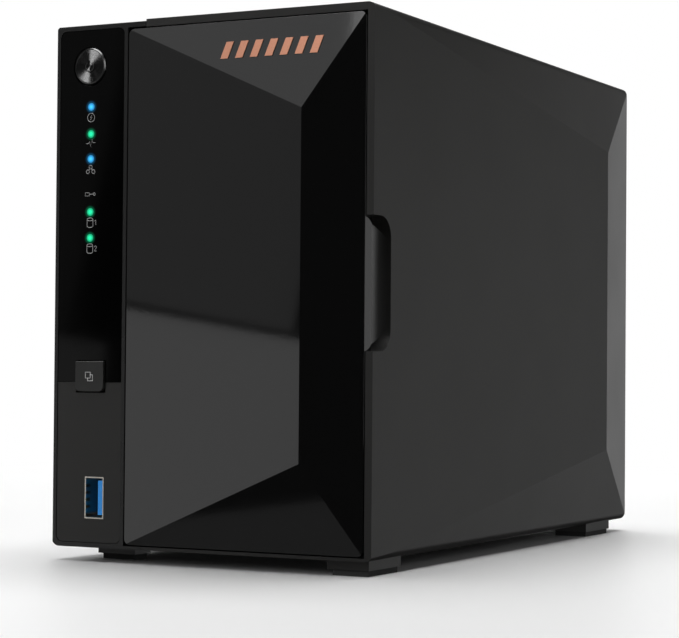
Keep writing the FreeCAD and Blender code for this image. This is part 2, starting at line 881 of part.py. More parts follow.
def usb_socket(name, x, z, y_mouth, y_base):
    """Shell and tongue of one upright socket, whose mouth is at y_mouth and base at y_base."""
    low_y, high_y = (y_mouth, y_base) if y_mouth.value < y_base.value else (y_base, y_mouth)
    facing = 1 if y_mouth.value < y_base.value else -1
    floor = y_base - dim.usb_sheet * facing
    half_wide, half_tall = dim.usb_wide / 2, dim.usb_tall / 2
    outer = block(f"{name}_outer", (x - half_wide, low_y, z - half_tall),
                  (x + half_wide, high_y, z + half_tall))
    past = y_mouth - SHORT * facing
    low_in, high_in = (past, floor) if facing > 0 else (floor, past)
    inner = block(
        f"{name}_inner",
        (x - half_wide + dim.usb_sheet, low_in, z - half_tall + dim.usb_sheet),
        (x + half_wide - dim.usb_sheet, high_in, z + half_tall - dim.usb_sheet),
    )
    tip = y_mouth + dim.usb_tongue_gap * facing
    low_t, high_t = (tip, floor) if facing > 0 else (floor, tip)
    tongue_x = x + half_wide - dim.usb_sheet - dim.usb_tongue_gap / 2
    tongue = block(
        f"{name}_tongue",
        (tongue_x - dim.usb_tongue, low_t, z - half_tall + dim.usb_sheet + dim.usb_tongue_gap),
        (tongue_x, high_t, z + half_tall - dim.usb_sheet - dim.usb_tongue_gap),
    )
    return cut(f"{name}_shell", outer, [inner]), tongue


usb_shell, usb_tongue = usb_socket("front_usb", usb_x, usb_z, panel_front, panel_front + dim.usb_long)
keep("front_usb_shell", usb_shell)
keep("front_usb_tongue", usb_tongue)

# ----------------------------------------------------------------------------------------------------------
# Door: flat-backed plate with four facets that meet at an upright ridge
# ----------------------------------------------------------------------------------------------------------

door_left = column_right + dim.door_gap
door_right = right - dim.wall - dim.door_gap
door_low = bottom + dim.door_floor_lip + dim.door_gap
door_high = top - dim.wall - dim.door_gap


def faceted_plate(name):
    """The door's faceted front, as the plate cut by the planes of its four facets."""
    x_left, x_right = door_left.value, door_right.value
    z_low, z_high = door_low.value, door_high.value
    y_edge, y_crown = front.value, front.value - dim.door_crown.value
    ridge_x = x_right - dim.door_ridge_side.value
    ridge_top = Vector(ridge_x, y_crown, z_high - dim.door_ridge_drop.value)
    ridge_low = Vector(ridge_x, y_crown, z_low + dim.door_ridge_rise.value)
    top_left, top_right = Vector(x_left, y_edge, z_high), Vector(x_right, y_edge, z_high)
    low_left, low_right = Vector(x_left, y_edge, z_low), Vector(x_right, y_edge, z_low)
    size = Vector(x_right - x_left, door_back.value - y_crown, z_high - z_low)
    solid = Part.makeBox(size.x, size.y, size.z, Vector(x_left, y_crown, z_low))
    facets = (
        (top_left, low_left, ridge_top),
        (top_right, low_right, ridge_top),
        (top_left, top_right, ridge_top),
        (low_left, low_right, ridge_low),
    )
    reach = 2 * (size.x + size.z)
    for first, second, third in facets:
        normal = (second - first).cross(third - first).normalize()
        if normal.y > 0:
            normal = -normal
        face = Part.Plane(first, normal).toShape(-reach, reach, -reach, reach)
        solid = solid.cut(face.extrude(normal * reach))
    plate = doc.addObject("Part::Feature", name)
    plate.Shape = solid
    return plate


door_facets = faceted_plate("door_facets")
door_corners = rounded(
    "door_corners",
    block("door_plate", (door_left, front - dim.door_crown - SHORT, door_low),
          (door_right, door_back, door_high)),
    dim.door_corner,
    lambda start, end: along("Y", start, end),
)
door_solid = shared("door_solid", door_facets, door_corners)

badge_bars = body("badge_bars")
badge_face = sketch(badge_bars, "badge_face", "XZ_Plane", -front)
badge_low = door_high - dim.badge_drop
for number in range(int(dim.badge_bars.value)):
    bar_left = door_left + dim.badge_start + dim.badge_pitch * number
    bar_right = bar_left + dim.badge_bar
    badge_high = badge_low + dim.badge_height
    outline(badge_face, [
        (bar_left, badge_low),
        (bar_right, badge_low),
        (bar_right + dim.badge_slant, badge_high),
        (bar_left + dim.badge_slant, badge_high),
    ])
pad(badge_bars, badge_face, dim.door_crown)
badge_skin = shared("badge_skin", badge_bars, moved("door_outwards", door_facets, (0, -dim.badge_proud, 0)))
badge = cut("badge", badge_skin, [moved("door_inwards", door_facets, (0, dim.badge_depth, 0))])
keep("badge_inlay", badge)
magnets = [
    rod(f"magnet_{number}", "Y", (x, door_back - dim.magnet_thick, z), dim.magnet_radius, dim.magnet_thick)
    for number, (x, z) in enumerate(magnet_places, start=1)
]
keep("door_magnets", group("magnet_discs", magnets))
keep("door_panel", cut("door_body", door_solid, [badge, *magnets]))

# ----------------------------------------------------------------------------------------------------------
# Drive cage: folded steel box with a divider, flanged to the back of the bezel
# ----------------------------------------------------------------------------------------------------------

half_drive = dim.drive_width / 2
tray_flange_out = half_drive + dim.tray_sheet * 2
rail_out = tray_flange_out + dim.rail_height
cage_half = rail_out + dim.guide_gap + dim.guide_base
cage_low, cage_high = bay_middle_z - cage_half, bay_middle_z + cage_half
cage_left, cage_right = bays_left - dim.piece_gap, bays_right + dim.piece_gap
tray_face_back = frame_back - dim.piece_gap
drive_front = tray_face_back + dim.drive_nose_gap
drive_rear = drive_front + dim.drive_length
backplane_front = drive_rear + dim.backplane_gap + dim.plug_gap
sheet_gap = dim.cage_sheet
divider_x = bay_middle
cage_outer = block("cage_outer", (cage_left - sheet_gap, frame_back, cage_low - sheet_gap),
                   (cage_right + sheet_gap, backplane_front, cage_high + sheet_gap))
cage_inner = block("cage_inner", (cage_left, frame_back - SHORT, cage_low),
                   (cage_right, backplane_front + SHORT, cage_high))
cage_divider = block("cage_divider", (divider_x - dim.divider_sheet / 2, frame_back, cage_low),
                     (divider_x + dim.divider_sheet / 2, drive_rear, cage_high))
flange_top = block("flange_top", (cage_left - sheet_gap, frame_back, cage_high),
                   (cage_right + sheet_gap, frame_back + sheet_gap, cage_high + dim.cage_flange))
flange_low = block("flange_low", (cage_left - sheet_gap, frame_back, cage_low - dim.cage_flange),
                   (cage_right + sheet_gap, frame_back + sheet_gap, cage_low))
cage_screw_places = [
    (x, z)
    for x in (cage_left + dim.cage_flange, cage_right - dim.cage_flange)
    for z in (cage_low - dim.cage_flange / 2, cage_high + dim.cage_flange / 2)
]


def screw(name, x, z, y_face, grip, facing):
    """A pan-head screw along Y: its head sits on y_face and points facing, its shank goes the other way."""
    head_start = y_face if facing > 0 else y_face - dim.screw_head_tall
    shank_start = y_face - grip if facing > 0 else y_face
    head = rod(f"{name}_head", "Y", (x, head_start, z), dim.screw_head, dim.screw_head_tall)
    shank = rod(f"{name}_shank", "Y", (x, shank_start, z), dim.screw_shank, grip)
    return fused(name, [head, shank]), shank


cage_grip = dim.cage_sheet + dim.frame_thick
cage_screws = []
cage_shanks = []
for number, (x, z) in enumerate(cage_screw_places, start=1):
    fastener, shank = screw(f"cage_screw_{number}", x, z, frame_back + sheet_gap, cage_grip, 1)
    cage_screws.append(fastener)
    cage_shanks.append(shank)
keep("cage_screws", group("cage_fasteners", cage_screws))
cage_tube = cut("cage_tube", cage_outer, [cage_inner])
cage_solid = fused("cage_solid", [cage_tube, cage_divider, flange_top, flange_low])
keep("drive_cage", cut("cage_body", cage_solid, cage_shanks))
keep("front_bezel", cut("bezel_body", bezel_solid, bezel_tools + cage_shanks))

bay_places = [bay_middle - tray_pitch / 2, bay_middle + tray_pitch / 2]
guide_strips = []
rail_half = dim.rail_width / 2
for number, middle in enumerate(bay_places, start=1):
    for way, name in ((1, "upper"), (-1, "lower")):
        edge = bay_middle_z + cage_half * way
        base_end = edge - dim.guide_base * way
        lip_end = edge - (dim.guide_base + dim.rail_height) * way
        low_base, high_base = (base_end, edge) if way > 0 else (edge, base_end)
        low_lip, high_lip = (lip_end, edge) if way > 0 else (edge, lip_end)
        reach = rail_half + dim.guide_gap + dim.guide_lip
        inner = rail_half + dim.guide_gap
        y_start, y_end = frame_back + SHORT * 2, drive_rear
        base = block(f"guide_base_{name}_{number}", (middle - reach, y_start, low_base),
                     (middle + reach, y_end, high_base))
        lip_left = block(f"guide_left_{name}_{number}", (middle - reach, y_start, low_lip),
                         (middle - inner, y_end, high_lip))
        lip_right = block(f"guide_right_{name}_{number}", (middle + inner, y_start, low_lip),
                          (middle + reach, y_end, high_lip))
        guide_strips.append(fused(f"guide_{name}_{number}", [base, lip_left, lip_right]))
keep("rail_guides", group("guide_set", guide_strips))


# ----------------------------------------------------------------------------------------------------------
# Trays, latches and drives
# ----------------------------------------------------------------------------------------------------------

latch_front = tray_face_back - dim.tray_face_thick - dim.latch_gap - dim.latch_thick
tray_face_front = tray_face_back - dim.tray_face_thick
pin_y = latch_front + dim.latch_thick / 2
pin_z = bay_middle_z - dim.tray_face / 2 + dim.latch_low
latch_half = dim.latch_width / 2
pin_radius = dim.latch_pin


def tray_frame(number, middle):
    """Moulded tray: slotted face, side plate, two flanges with their rails, ears for the latch."""
    name = f"tray_{number}"
    half = dim.tray_width / 2
    face = upright_plate(
        f"{name}_face", tray_face_front, tray_face_back,
        (middle - half, bay_middle_z - dim.tray_face / 2),
        (middle + half, bay_middle_z + dim.tray_face / 2),
    )
    slots = sketch(face, f"{name}_slots", "XZ_Plane", -tray_face_back)
    for row in range(int(dim.slot_rows.value)):
        for way in (-1, 1):
            slot_z = bay_middle_z + (dim.tray_face / 2 - dim.slot_edge - dim.vent_width * 2 * row) * way
            low_z = slot_z - dim.vent_width / 2
            rectangle(slots, (middle - latch_half, low_z), (middle + latch_half, low_z + dim.vent_width))
    pocket(face, slots)
    side_x = middle - half + dim.bay_gap
    side = block(f"{name}_side", (side_x, tray_face_back, bay_middle_z - tray_flange_out),
                 (side_x + dim.tray_sheet, drive_rear + SHORT, bay_middle_z + tray_flange_out))
    window = block(
        f"{name}_window",
        (side_x - SHORT, drive_front + dim.side_window_inset, bay_middle_z - dim.side_window_tall / 2),
        (side_x + dim.tray_sheet + SHORT, drive_rear - dim.side_window_inset,
         bay_middle_z + dim.side_window_tall / 2),
    )
    pieces = [face, cut(f"{name}_side_plate", side, [window])]
    for way, where in ((1, "upper"), (-1, "lower")):
        out = bay_middle_z + tray_flange_out * way
        inner = out - dim.tray_sheet * way
        rail = out + dim.rail_height * way
        low, high = (inner, out) if way > 0 else (out, inner)
        low_rail, high_rail = (out, rail) if way > 0 else (rail, out)
        pieces.append(block(f"{name}_flange_{where}", (side_x, tray_face_back, low),
                            (middle + dim.rail_width, drive_rear + SHORT, high)))
        pieces.append(block(f"{name}_rail_{where}", (middle - rail_half, tray_face_back, low_rail),
                            (middle + rail_half, drive_rear, high_rail)))
    for way, where in ((1, "right"), (-1, "left")):
        near = middle + (latch_half + dim.latch_gap) * way
        far = near + dim.ear_thick * way
        low_x, high_x = (near, far) if way > 0 else (far, near)
        width = dim.ear_thick
        radius = dim.latch_thick / 2
        pieces.append(rod(f"{name}_ear_{where}", "X", (low_x, pin_y, pin_z), radius, width))
        pieces.append(block(f"{name}_ear_root_{where}", (low_x, pin_y, pin_z - radius),
                            (high_x, tray_face_front, pin_z + radius)))
    return fused(f"{name}_solid", pieces), side_x


def latch_lever(number, middle):
    """Latch: flat lever with a rounded hinge end, a bore for its pin and a finger window."""
    name = f"latch_{number}"
    lever = body(f"{name}_lever")
    radius = dim.latch_thick / 2
    bar = sketch(lever, f"{name}_bar", "YZ_Plane", middle - latch_half)
    rectangle(bar, (latch_front, pin_z), (latch_front + dim.latch_thick, pin_z + dim.latch_length))
    pad(lever, bar, dim.latch_width)
    knuckle = sketch(lever, f"{name}_knuckle", "YZ_Plane", middle - latch_half)
    circle(knuckle, (pin_y, pin_z), radius)
    pad(lever, knuckle, dim.latch_width)
    bore = sketch(lever, f"{name}_bore", "YZ_Plane", middle)
    circle(bore, (pin_y, pin_z), pin_radius + dim.pin_clearance)
    pocket(lever, bore)
    grip = sketch(lever, f"{name}_grip", "XZ_Plane", -latch_front)
    grip_top = pin_z + dim.latch_length - dim.latch_thick * 2
    rectangle(grip, (middle - dim.grip_width / 2, grip_top - dim.grip_length),
              (middle + dim.grip_width / 2, grip_top))
    pocket(lever, grip)
    return lever


def hard_drive(number, side_x):
    """Cast body with a board recess and plug pocket, pressed cover, circuit board and mounting screws."""
    name = f"drive_{number}"
    base_x = side_x + dim.tray_sheet
    cover_x = base_x + dim.drive_height - dim.drive_cover
    low_z, high_z = bay_middle_z - half_drive, bay_middle_z + half_drive
    edge = dim.corner_radius
    margin = dim.drive_hole_inset + dim.screw_head + SHORT
    plug_start = drive_rear - dim.plug_depth - dim.plug_gap
    plug_half = dim.plug_width / 2 + dim.plug_gap
    board_end = plug_start - edge / 2
    casting = rounded(
        f"{name}_casting",
        block(f"{name}_block", (base_x, drive_front, low_z), (cover_x, drive_rear, high_z)),
        edge,
        lambda start, end: along("X", start, end),
    )
    recess = block(
        f"{name}_recess",
        (base_x - SHORT, drive_front + dim.drive_board_start, low_z + margin),
        (base_x + dim.drive_board_recess, board_end, high_z - margin),
    )
    plug = block(
        f"{name}_plug",
        (base_x + SHORT, plug_start, bay_middle_z - plug_half),
        (base_x + SHORT + dim.plug_depth + dim.plug_gap * 2, drive_rear + SHORT, bay_middle_z + plug_half),
    )
    cover = rounded(
        f"{name}_lid",
        block(f"{name}_lid_block", (cover_x, drive_front + edge / 2, low_z + edge / 2),
              (cover_x + dim.drive_cover, drive_rear - edge / 2, high_z - edge / 2)),
        edge,
        lambda start, end: along("X", start, end),
    )
    board = block(
        f"{name}_board",
        (base_x + dim.piece_gap, drive_front + dim.drive_board_start + dim.piece_gap,
         low_z + margin + dim.piece_gap),
        (base_x + dim.piece_gap + dim.board_thick, board_end - dim.piece_gap,
         high_z - margin - dim.piece_gap),
    )
    screws = []
    shanks = []
    screw_columns = (drive_front + dim.drive_screw_inset, drive_rear - dim.drive_screw_inset)
    for column_number, y_screw in enumerate(screw_columns):
        for row_number, way in enumerate((-1, 1)):
            z_screw = bay_middle_z + (half_drive - dim.drive_hole_inset) * way
            tag = f"{name}_screw_{column_number}{row_number}"
            head = rod(f"{tag}_head", "X", (side_x, y_screw, z_screw), dim.screw_head, dim.screw_head_tall)
            shank = rod(f"{tag}_shank", "X", (side_x, y_screw, z_screw), dim.screw_shank,
                        dim.drive_screw_long)
            screws.append(fused(tag, [head, shank]))
    return casting, [recess, plug], cover, board, screws


for number, middle in enumerate(bay_places, start=1):
    frame, side_x = tray_frame(number, middle)
    casting, pockets, cover, board, screws = hard_drive(number, side_x)
    screw_set = group(f"tray_screws_{number}", screws)
    pin_reach = latch_half + dim.latch_gap + dim.ear_thick
    pin = rod(f"latch_pin_rod_{number}", "X", (middle - pin_reach, pin_y, pin_z), pin_radius, pin_reach * 2)
    keep(f"tray_{number}", cut(f"tray_body_{number}", frame, [pin, *screws]))
    keep(f"tray_latch_{number}", latch_lever(number, middle))
    keep(f"latch_pin_{number}", pin)
    keep(f"drive_body_{number}", cut(f"drive_casting_{number}", casting, pockets + screws))
    keep(f"drive_cover_{number}", cover)
    keep(f"drive_board_{number}", board)
    keep(f"drive_screws_{number}", screw_set)

# ----------------------------------------------------------------------------------------------------------
# Backplane: upright board behind the bays, which carries the drive sockets and plugs into the mainboard
# ----------------------------------------------------------------------------------------------------------

board_face = left + dim.wall + dim.mainboard_inset + dim.board_thick
link_reach = board_face + dim.socket_deep
backplane = upright_plate(
    "backplane", backplane_front, backplane_front + dim.board_thick,
    (cage_left - sheet_gap, cage_low - dim.backplane_edge),
    (cage_right + sheet_gap, cage_high + dim.backplane_edge),
)
tongue_half = dim.socket_tall / 2 - dim.bay_gap
link_tongue = sketch(backplane, "link_tongue", "XZ_Plane", -backplane_front - dim.board_thick)
rectangle(link_tongue, (board_face + dim.socket_deep / 2, bay_middle_z - tongue_half),
          (cage_left, bay_middle_z + tongue_half))
pad(backplane, link_tongue, dim.board_thick)
air_gaps = sketch(backplane, "air_gaps", "XZ_Plane", -backplane_front)
for middle in bay_places:
    for way in (-1, 1):
        near = bay_middle_z + (dim.plug_width / 2 + dim.plug_depth) * way
        far = bay_middle_z + (half_drive - dim.rail_height) * way
        low, high = (near, far) if way > 0 else (far, near)
        rectangle(air_gaps, (middle - dim.rail_width, low), (middle + dim.rail_width, high))
pocket(backplane, air_gaps)
keep("backplane_board", backplane)
plug_rear = drive_rear - dim.plug_depth
sata_sockets = []
for number, middle in enumerate(bay_places, start=1):
    plug_x = middle - dim.tray_width / 2 + dim.bay_gap + dim.tray_sheet + SHORT + dim.plug_gap
    sata_sockets.append(block(
        f"sata_socket_{number}",
        (plug_x, plug_rear, bay_middle_z - dim.plug_width / 2),
        (plug_x + dim.plug_depth, backplane_front, bay_middle_z + dim.plug_width / 2),
    ))
keep("sata_sockets", group("sata_set", sata_sockets))

# ----------------------------------------------------------------------------------------------------------
# Mainboard: upright board on the left wall, parts towards +X
# ----------------------------------------------------------------------------------------------------------

board_back = left + dim.wall + dim.mainboard_inset
board_front_y = front + dim.mainboard_front
board_rear_y = rear - dim.mainboard_rear
board_low = bottom + dim.mainboard_low
board_high = board_low + dim.mainboard_tall
main_board = body("main_board")
main_face = sketch(main_board, "main_face", "YZ_Plane", board_back)
rectangle(main_face, (board_front_y, board_low), (board_rear_y, board_high))
pad(main_board, main_face, dim.board_thick)
standoff_places = [
    (board_front_y + dim.post_inset, board_low + dim.post_edge),
    (board_front_y + dim.post_inset, board_high - dim.post_edge),
    (rear - dim.ridge_setback - dim.post_rear_inset, board_low + dim.post_rear_edge),
    (rear - dim.ridge_setback - dim.post_rear_inset, board_high - dim.post_rear_edge),
]
main_holes = sketch(main_board, "main_holes", "YZ_Plane", board_back)
for y, z in standoff_places:
    circle(main_holes, (y, z), dim.screw_shank)
pocket(main_board, main_holes)
keep("mainboard", main_board)
standoffs = []
board_screws = []
for number, (y, z) in enumerate(standoff_places, start=1):
    post = rod(f"post_{number}", "X", (left + dim.wall, y, z), dim.screw_head, dim.mainboard_inset)
    shank = rod(f"board_shank_{number}", "X", (board_back - dim.board_thick, y, z), dim.screw_shank,
                dim.board_thick * 2)
    head = rod(f"board_head_{number}", "X", (board_face, y, z), dim.screw_head, dim.screw_head_tall)
    standoffs.append(cut(f"standoff_{number}", post, [shank]))
    board_screws.append(fused(f"board_screw_{number}", [shank, head]))
keep("board_standoffs", group("standoff_set", standoffs))
keep("board_screws", group("board_fasteners", board_screws))

socket_half = dim.socket_tall / 2
link_middle = backplane_front + dim.board_thick / 2
link_body = block("link_body", (board_face, link_middle - dim.socket_deep / 2, bay_middle_z - socket_half),
                  (link_reach, link_middle + dim.socket_deep / 2, bay_middle_z + socket_half))
link_slot = block("link_slot",
                  (board_face + dim.socket_deep / 2, backplane_front, bay_middle_z - tongue_half),
                  (link_reach + SHORT, backplane_front + dim.board_thick, bay_middle_z + tongue_half))
keep("link_socket", cut("link_socket_body", link_body, [link_slot]))

chip_half = dim.chip_side / 2
chip_y = Size("0", 0)
chip_z = bay_middle_z + dim.sink_side / 2
chip_top = board_face + dim.chip_tall
keep("processor", block("processor_package", (board_face, chip_y - chip_half, chip_z - chip_half),
                        (chip_top, chip_y + chip_half, chip_z + chip_half)))
half_sink = dim.sink_side / 2
fin_step = (dim.sink_side - dim.fin_thick) / (dim.sink_fins.value - 1)
sink_pieces = [block("sink_plate", (chip_top, chip_y - half_sink, chip_z - half_sink),
                     (chip_top + dim.sink_base, chip_y + half_sink, chip_z + half_sink))]
for number in range(int(dim.sink_fins.value)):
    fin_z = chip_z - half_sink + fin_step * number
    sink_pieces.append(block(f"sink_fin_{number + 1}", (chip_top, chip_y - half_sink, fin_z),
                             (chip_top + dim.sink_tall, chip_y + half_sink, fin_z + dim.fin_thick)))
keep("heat_sink", fused("sink_body", sink_pieces))

memory = []
memory_back = chip_y - half_sink - dim.memory_gap
for number in range(int(dim.memory_count.value)):
    chip_low = chip_z - half_sink + dim.memory_pitch * number
    memory.append(block(f"memory_{number + 1}", (board_face, memory_back - dim.memory_wide, chip_low),
                        (chip_top, memory_back, chip_low + dim.memory_tall)))
keep("memory_chips", group("memory_set", memory))
coils = []
cans = []
power_z_low = board_low + dim.board_part_low
half_coil = dim.coil_side / 2
for number in range(int(dim.board_part_count.value)):
    part_y = dim.board_part_pitch * (number + 1)
    coils.append(block(f"coil_{number + 1}", (board_face, part_y - half_coil, power_z_low - half_coil),
                       (board_face + dim.coil_tall, part_y + half_coil, power_z_low + half_coil)))
    cans.append(rod(f"can_{number + 1}", "X", (board_face, part_y, power_z_low + dim.board_part_pitch),
                    dim.can_radius, dim.can_long))
keep("power_inductors", group("coil_set", coils))
keep("capacitors", group("can_set", cans))

# ----------------------------------------------------------------------------------------------------------
# Rear panel: pressed sheet with the fan grille and the cut-outs for the ports
# ----------------------------------------------------------------------------------------------------------

sheet_back = rear - dim.panel_setback
sheet_front = sheet_back - dim.panel_sheet
panel_half = half_width - dim.rear_taper - dim.wall - dim.piece_gap
rear_panel = upright_plate("rear_sheet", sheet_front, sheet_back, (-panel_half, inside_low),
                           (panel_half, inside_high))
fan_x, fan_z = right - dim.fan_inset, bay_middle_z
half_fan_pitch = dim.fan_hole_pitch / 2
fan_corners = [(fan_x + half_fan_pitch * a, fan_z + half_fan_pitch * b) for a in (-1, 1) for b in (-1, 1)]
screw_reach = panel_half - dim.panel_screw_inset
panel_corners = [(x, z) for x in (-screw_reach, screw_reach)
                 for z in (inside_low + dim.panel_screw_inset, inside_high - dim.panel_screw_inset)]
fixing_holes = sketch(rear_panel, "fixing_holes", "XZ_Plane", -sheet_front)
for x, z in fan_corners:
    circle(fixing_holes, (x, z), dim.fan_hole)
for x, z in panel_corners:
    circle(fixing_holes, (x, z), dim.screw_shank)
pocket(rear_panel, fixing_holes)
RING_SIDES = 6     # each ring of the grille has six holes more than the one inside it
for ring in range(1, int(dim.grille_rings.value) + 1):
    ring_sketch = sketch(rear_panel, f"grille_ring_{ring}", "XZ_Plane", -sheet_front)
    holes = RING_SIDES * ring
    for step in range(holes):
        angle = math.tau * step / holes
        across, up = ring * math.cos(angle), ring * math.sin(angle)
        hole = (fan_x + dim.grille_pitch * across, fan_z + dim.grille_pitch * up)
        circle(ring_sketch, hole, dim.grille_hole)
    pocket(rear_panel, ring_sketch)
port_cuts = sketch(rear_panel, "port_cuts", "XZ_Plane", -sheet_front)
margin = dim.split_gap
port_faces = {
    "lan": (dim.lan_height, dim.lan_tall, dim.lan_wide),
    "dc": (dim.dc_height, dim.dc_tall, dim.dc_wide),
    "upper_usb": (dim.upper_usb_height, dim.usb_wide, dim.usb_tall),
    "lower_usb": (dim.lower_usb_height, dim.usb_wide, dim.usb_tall),
}
for height, tall, wide in port_faces.values():
    rectangle(port_cuts, (board_face - margin, bottom + height - wide / 2 - margin),
              (board_face + tall + margin, bottom + height + wide / 2 + margin))
reset_x = board_face + dim.usb_wide / 2
reset_z = bottom + dim.reset_height
circle(port_cuts, (reset_x, reset_z), dim.reset_radius + dim.button_gap)
lock_x, lock_z = board_face + dim.lock_inset, inside_low + dim.lock_height
rectangle(port_cuts, (lock_x, lock_z - dim.lock_tall / 2),
          (lock_x + dim.lock_wide, lock_z + dim.lock_tall / 2))
pocket(rear_panel, port_cuts)
keep("rear_panel", rear_panel)

panel_screws = []
for number, (x, z) in enumerate(panel_corners, start=1):
    panel_screws.append(screw(f"panel_screw_{number}", x, z, sheet_back, dim.panel_screw_grip, 1)[0])
keep("panel_screws", group("panel_fasteners", panel_screws))

# ----------------------------------------------------------------------------------------------------------
# Rear ports on the mainboard's edge
# ----------------------------------------------------------------------------------------------------------

port_mouth = sheet_back + dim.port_proud
lan_z = bottom + dim.lan_height
lan_can = block("lan_can", (board_face, port_mouth - dim.lan_long, lan_z - dim.lan_wide / 2),
                (board_face + dim.lan_tall, port_mouth, lan_z + dim.lan_wide / 2))
mouth_x = board_face + dim.wall
mouth_half, notch_half = dim.lan_mouth_wide / 2, dim.lan_notch_wide / 2
lan_mouth = block("lan_mouth", (mouth_x, port_mouth - dim.lan_mouth_deep, lan_z - mouth_half),
                  (mouth_x + dim.lan_mouth_tall, port_mouth + SHORT, lan_z + mouth_half))
lan_notch = block("lan_notch", (mouth_x, port_mouth - dim.lan_notch_deep, lan_z - notch_half),
                  (board_face + dim.lan_notch_top, port_mouth + SHORT, lan_z + notch_half))
keep("lan_port", cut("lan_body", lan_can, [lan_mouth, lan_notch]))

rear_usb_x = board_face + dim.usb_wide / 2
shells = []
tongues = []
for name, height in (("upper_usb", dim.upper_usb_height), ("lower_usb", dim.lower_usb_height)):
    port_shell, port_tongue = usb_socket(name, rear_usb_x, bottom + height, port_mouth,
                                         port_mouth - dim.usb_long)
    shells.append(port_shell)
    tongues.append(port_tongue)
keep("rear_usb_shells", group("rear_usb_set", shells))
keep("rear_usb_tongues", group("rear_tongue_set", tongues))

dc_z = bottom + dim.dc_height
dc_x = board_face + dim.dc_tall / 2
dc_body = block("dc_body", (board_face, port_mouth - dim.dc_long, dc_z - dim.dc_wide / 2),
                (board_face + dim.dc_tall, port_mouth, dc_z + dim.dc_wide / 2))
dc_bore = rod("dc_bore", "Y", (dc_x, port_mouth - dim.dc_long + dim.wall, dc_z), dim.dc_hole, dim.dc_long)
keep("dc_jack", cut("dc_jack_body", dc_body, [dc_bore]))
keep("dc_jack_pin", rod("dc_pin_rod", "Y", (dc_x, port_mouth - dim.dc_long + dim.wall, dc_z), dim.dc_pin,
                        dim.dc_long - dim.wall - dim.port_proud * 2))

reset_back = sheet_front - dim.reset_stand
half_switch = dim.switch_size / 2
reset_can = block("reset_can", (board_face, reset_back - dim.switch_tall, reset_z - half_switch),
                  (board_face + dim.switch_size, reset_back, reset_z + half_switch))
keep("reset_switch", reset_can)
reset_start = reset_back + dim.reset_travel + dim.piece_gap
reset_stem = rod("reset_stem", "Y", (reset_x, reset_start, reset_z), dim.reset_radius,
                 sheet_back - reset_start)
reset_collar = rod("reset_collar", "Y", (reset_x, reset_start, reset_z),
                   dim.reset_radius + dim.button_flange, dim.flange_thick)
keep("reset_button", fused("reset_body", [reset_stem, reset_collar]))

# ----------------------------------------------------------------------------------------------------------
# Fan: square frame screwed to the rear panel, rotor on a shaft in the frame's bearing
# ----------------------------------------------------------------------------------------------------------

FULL_TURN = 360.0
STRUT_START = 90.0     # the first strut hangs straight down
fan_back = sheet_front
fan_front = fan_back - dim.fan_deep
half_fan = dim.fan_side / 2
fan_frame = upright_plate("fan_housing", fan_front, fan_back, (fan_x - half_fan, fan_z - half_fan),
                          (fan_x + half_fan, fan_z + half_fan))
round_body(fan_frame, dim.corner_radius, lambda start, end: along("Y", start, end))
duct = sketch(fan_frame, "fan_duct", "XZ_Plane", -fan_front)
circle(duct, (fan_x, fan_z), dim.fan_bore)
for x, z in fan_corners:
    circle(duct, (x, z), dim.fan_hole)
pocket(fan_frame, duct)
strut_front = fan_back - dim.strut_thick
half_strut = dim.strut_thick / 2
struts = []
for number in range(int(dim.fan_struts.value)):
    arm = block(f"strut_arm_{number}", (0, 0, -half_strut),
                (dim.fan_bore + SHORT, dim.strut_thick, half_strut))
    turn = FreeCAD.Rotation(Vector(0, 1, 0), STRUT_START + FULL_TURN * number / dim.fan_struts.value)
    arm.Placement.Rotation = turn
    place(arm, (fan_x, strut_front, fan_z))
    struts.append(arm)
bearing = dim.shaft_radius + dim.pin_clearance
hub_disc = rod("hub_disc", "Y", (fan_x, strut_front, fan_z), dim.fan_hub, dim.strut_thick)
bearing_tube = rod("bearing_tube", "Y", (fan_x, fan_front + dim.bearing_start, fan_z), dim.bearing_radius,
                   dim.fan_deep - dim.bearing_start)
bearing_bore = rod("bearing_bore", "Y", (fan_x, fan_front, fan_z), bearing, dim.fan_deep + SHORT)
frame_solid = fused("fan_frame_solid", [fan_frame, hub_disc, bearing_tube, *struts])
keep("fan_frame", cut("fan_frame_body", frame_solid, [bearing_bore]))

rotor_front = fan_front + dim.rotor_gap
rotor_back = strut_front - dim.rotor_rear_gap
hub_shell = body("rotor_hub")
hub_side = sketch(hub_shell, "hub_side", "XZ_Plane", -rotor_back)
circle(hub_side, (fan_x, fan_z), dim.fan_hub)
pad(hub_shell, hub_side, rotor_back - rotor_front)
hub_room = rod("hub_room", "Y", (fan_x, rotor_front + dim.wall, fan_z), dim.fan_hub - dim.wall, dim.fan_deep)
shaft = rod("fan_shaft", "Y", (fan_x, rotor_front + dim.wall / 2, fan_z), dim.shaft_radius,
            fan_back - rotor_front - dim.wall)
blade_deep = (rotor_back - rotor_front) * dim.blade_share
blade_root = dim.fan_hub - SHORT * 2
fan_middle = Vector(fan_x.value, (rotor_front.value + rotor_back.value) / 2, fan_z.value)
blade_tilt = FreeCAD.Rotation(Vector(1, 0, 0), STRUT_START + dim.blade_tilt.value)
blade_offset = FreeCAD.Placement(Vector(blade_root.value, 0, 0), blade_tilt)
blade_centre = FreeCAD.Placement(
    Vector(0, -dim.blade_thick.value / 2, -blade_deep.value / 2), FreeCAD.Rotation()
)
blades = []
for number in range(int(dim.fan_blades.value)):
    blade = doc.addObject("Part::Box", f"blade_{number + 1}")
    bind(blade, "Length", dim.fan_tip - blade_root)
    bind(blade, "Width", dim.blade_thick)
    bind(blade, "Height", blade_deep)
    turn = FreeCAD.Rotation(Vector(0, 1, 0), FULL_TURN * number / dim.fan_blades.value)
    blade.Placement = FreeCAD.Placement(fan_middle, turn) * blade_offset * blade_centre
    blades.append(blade)
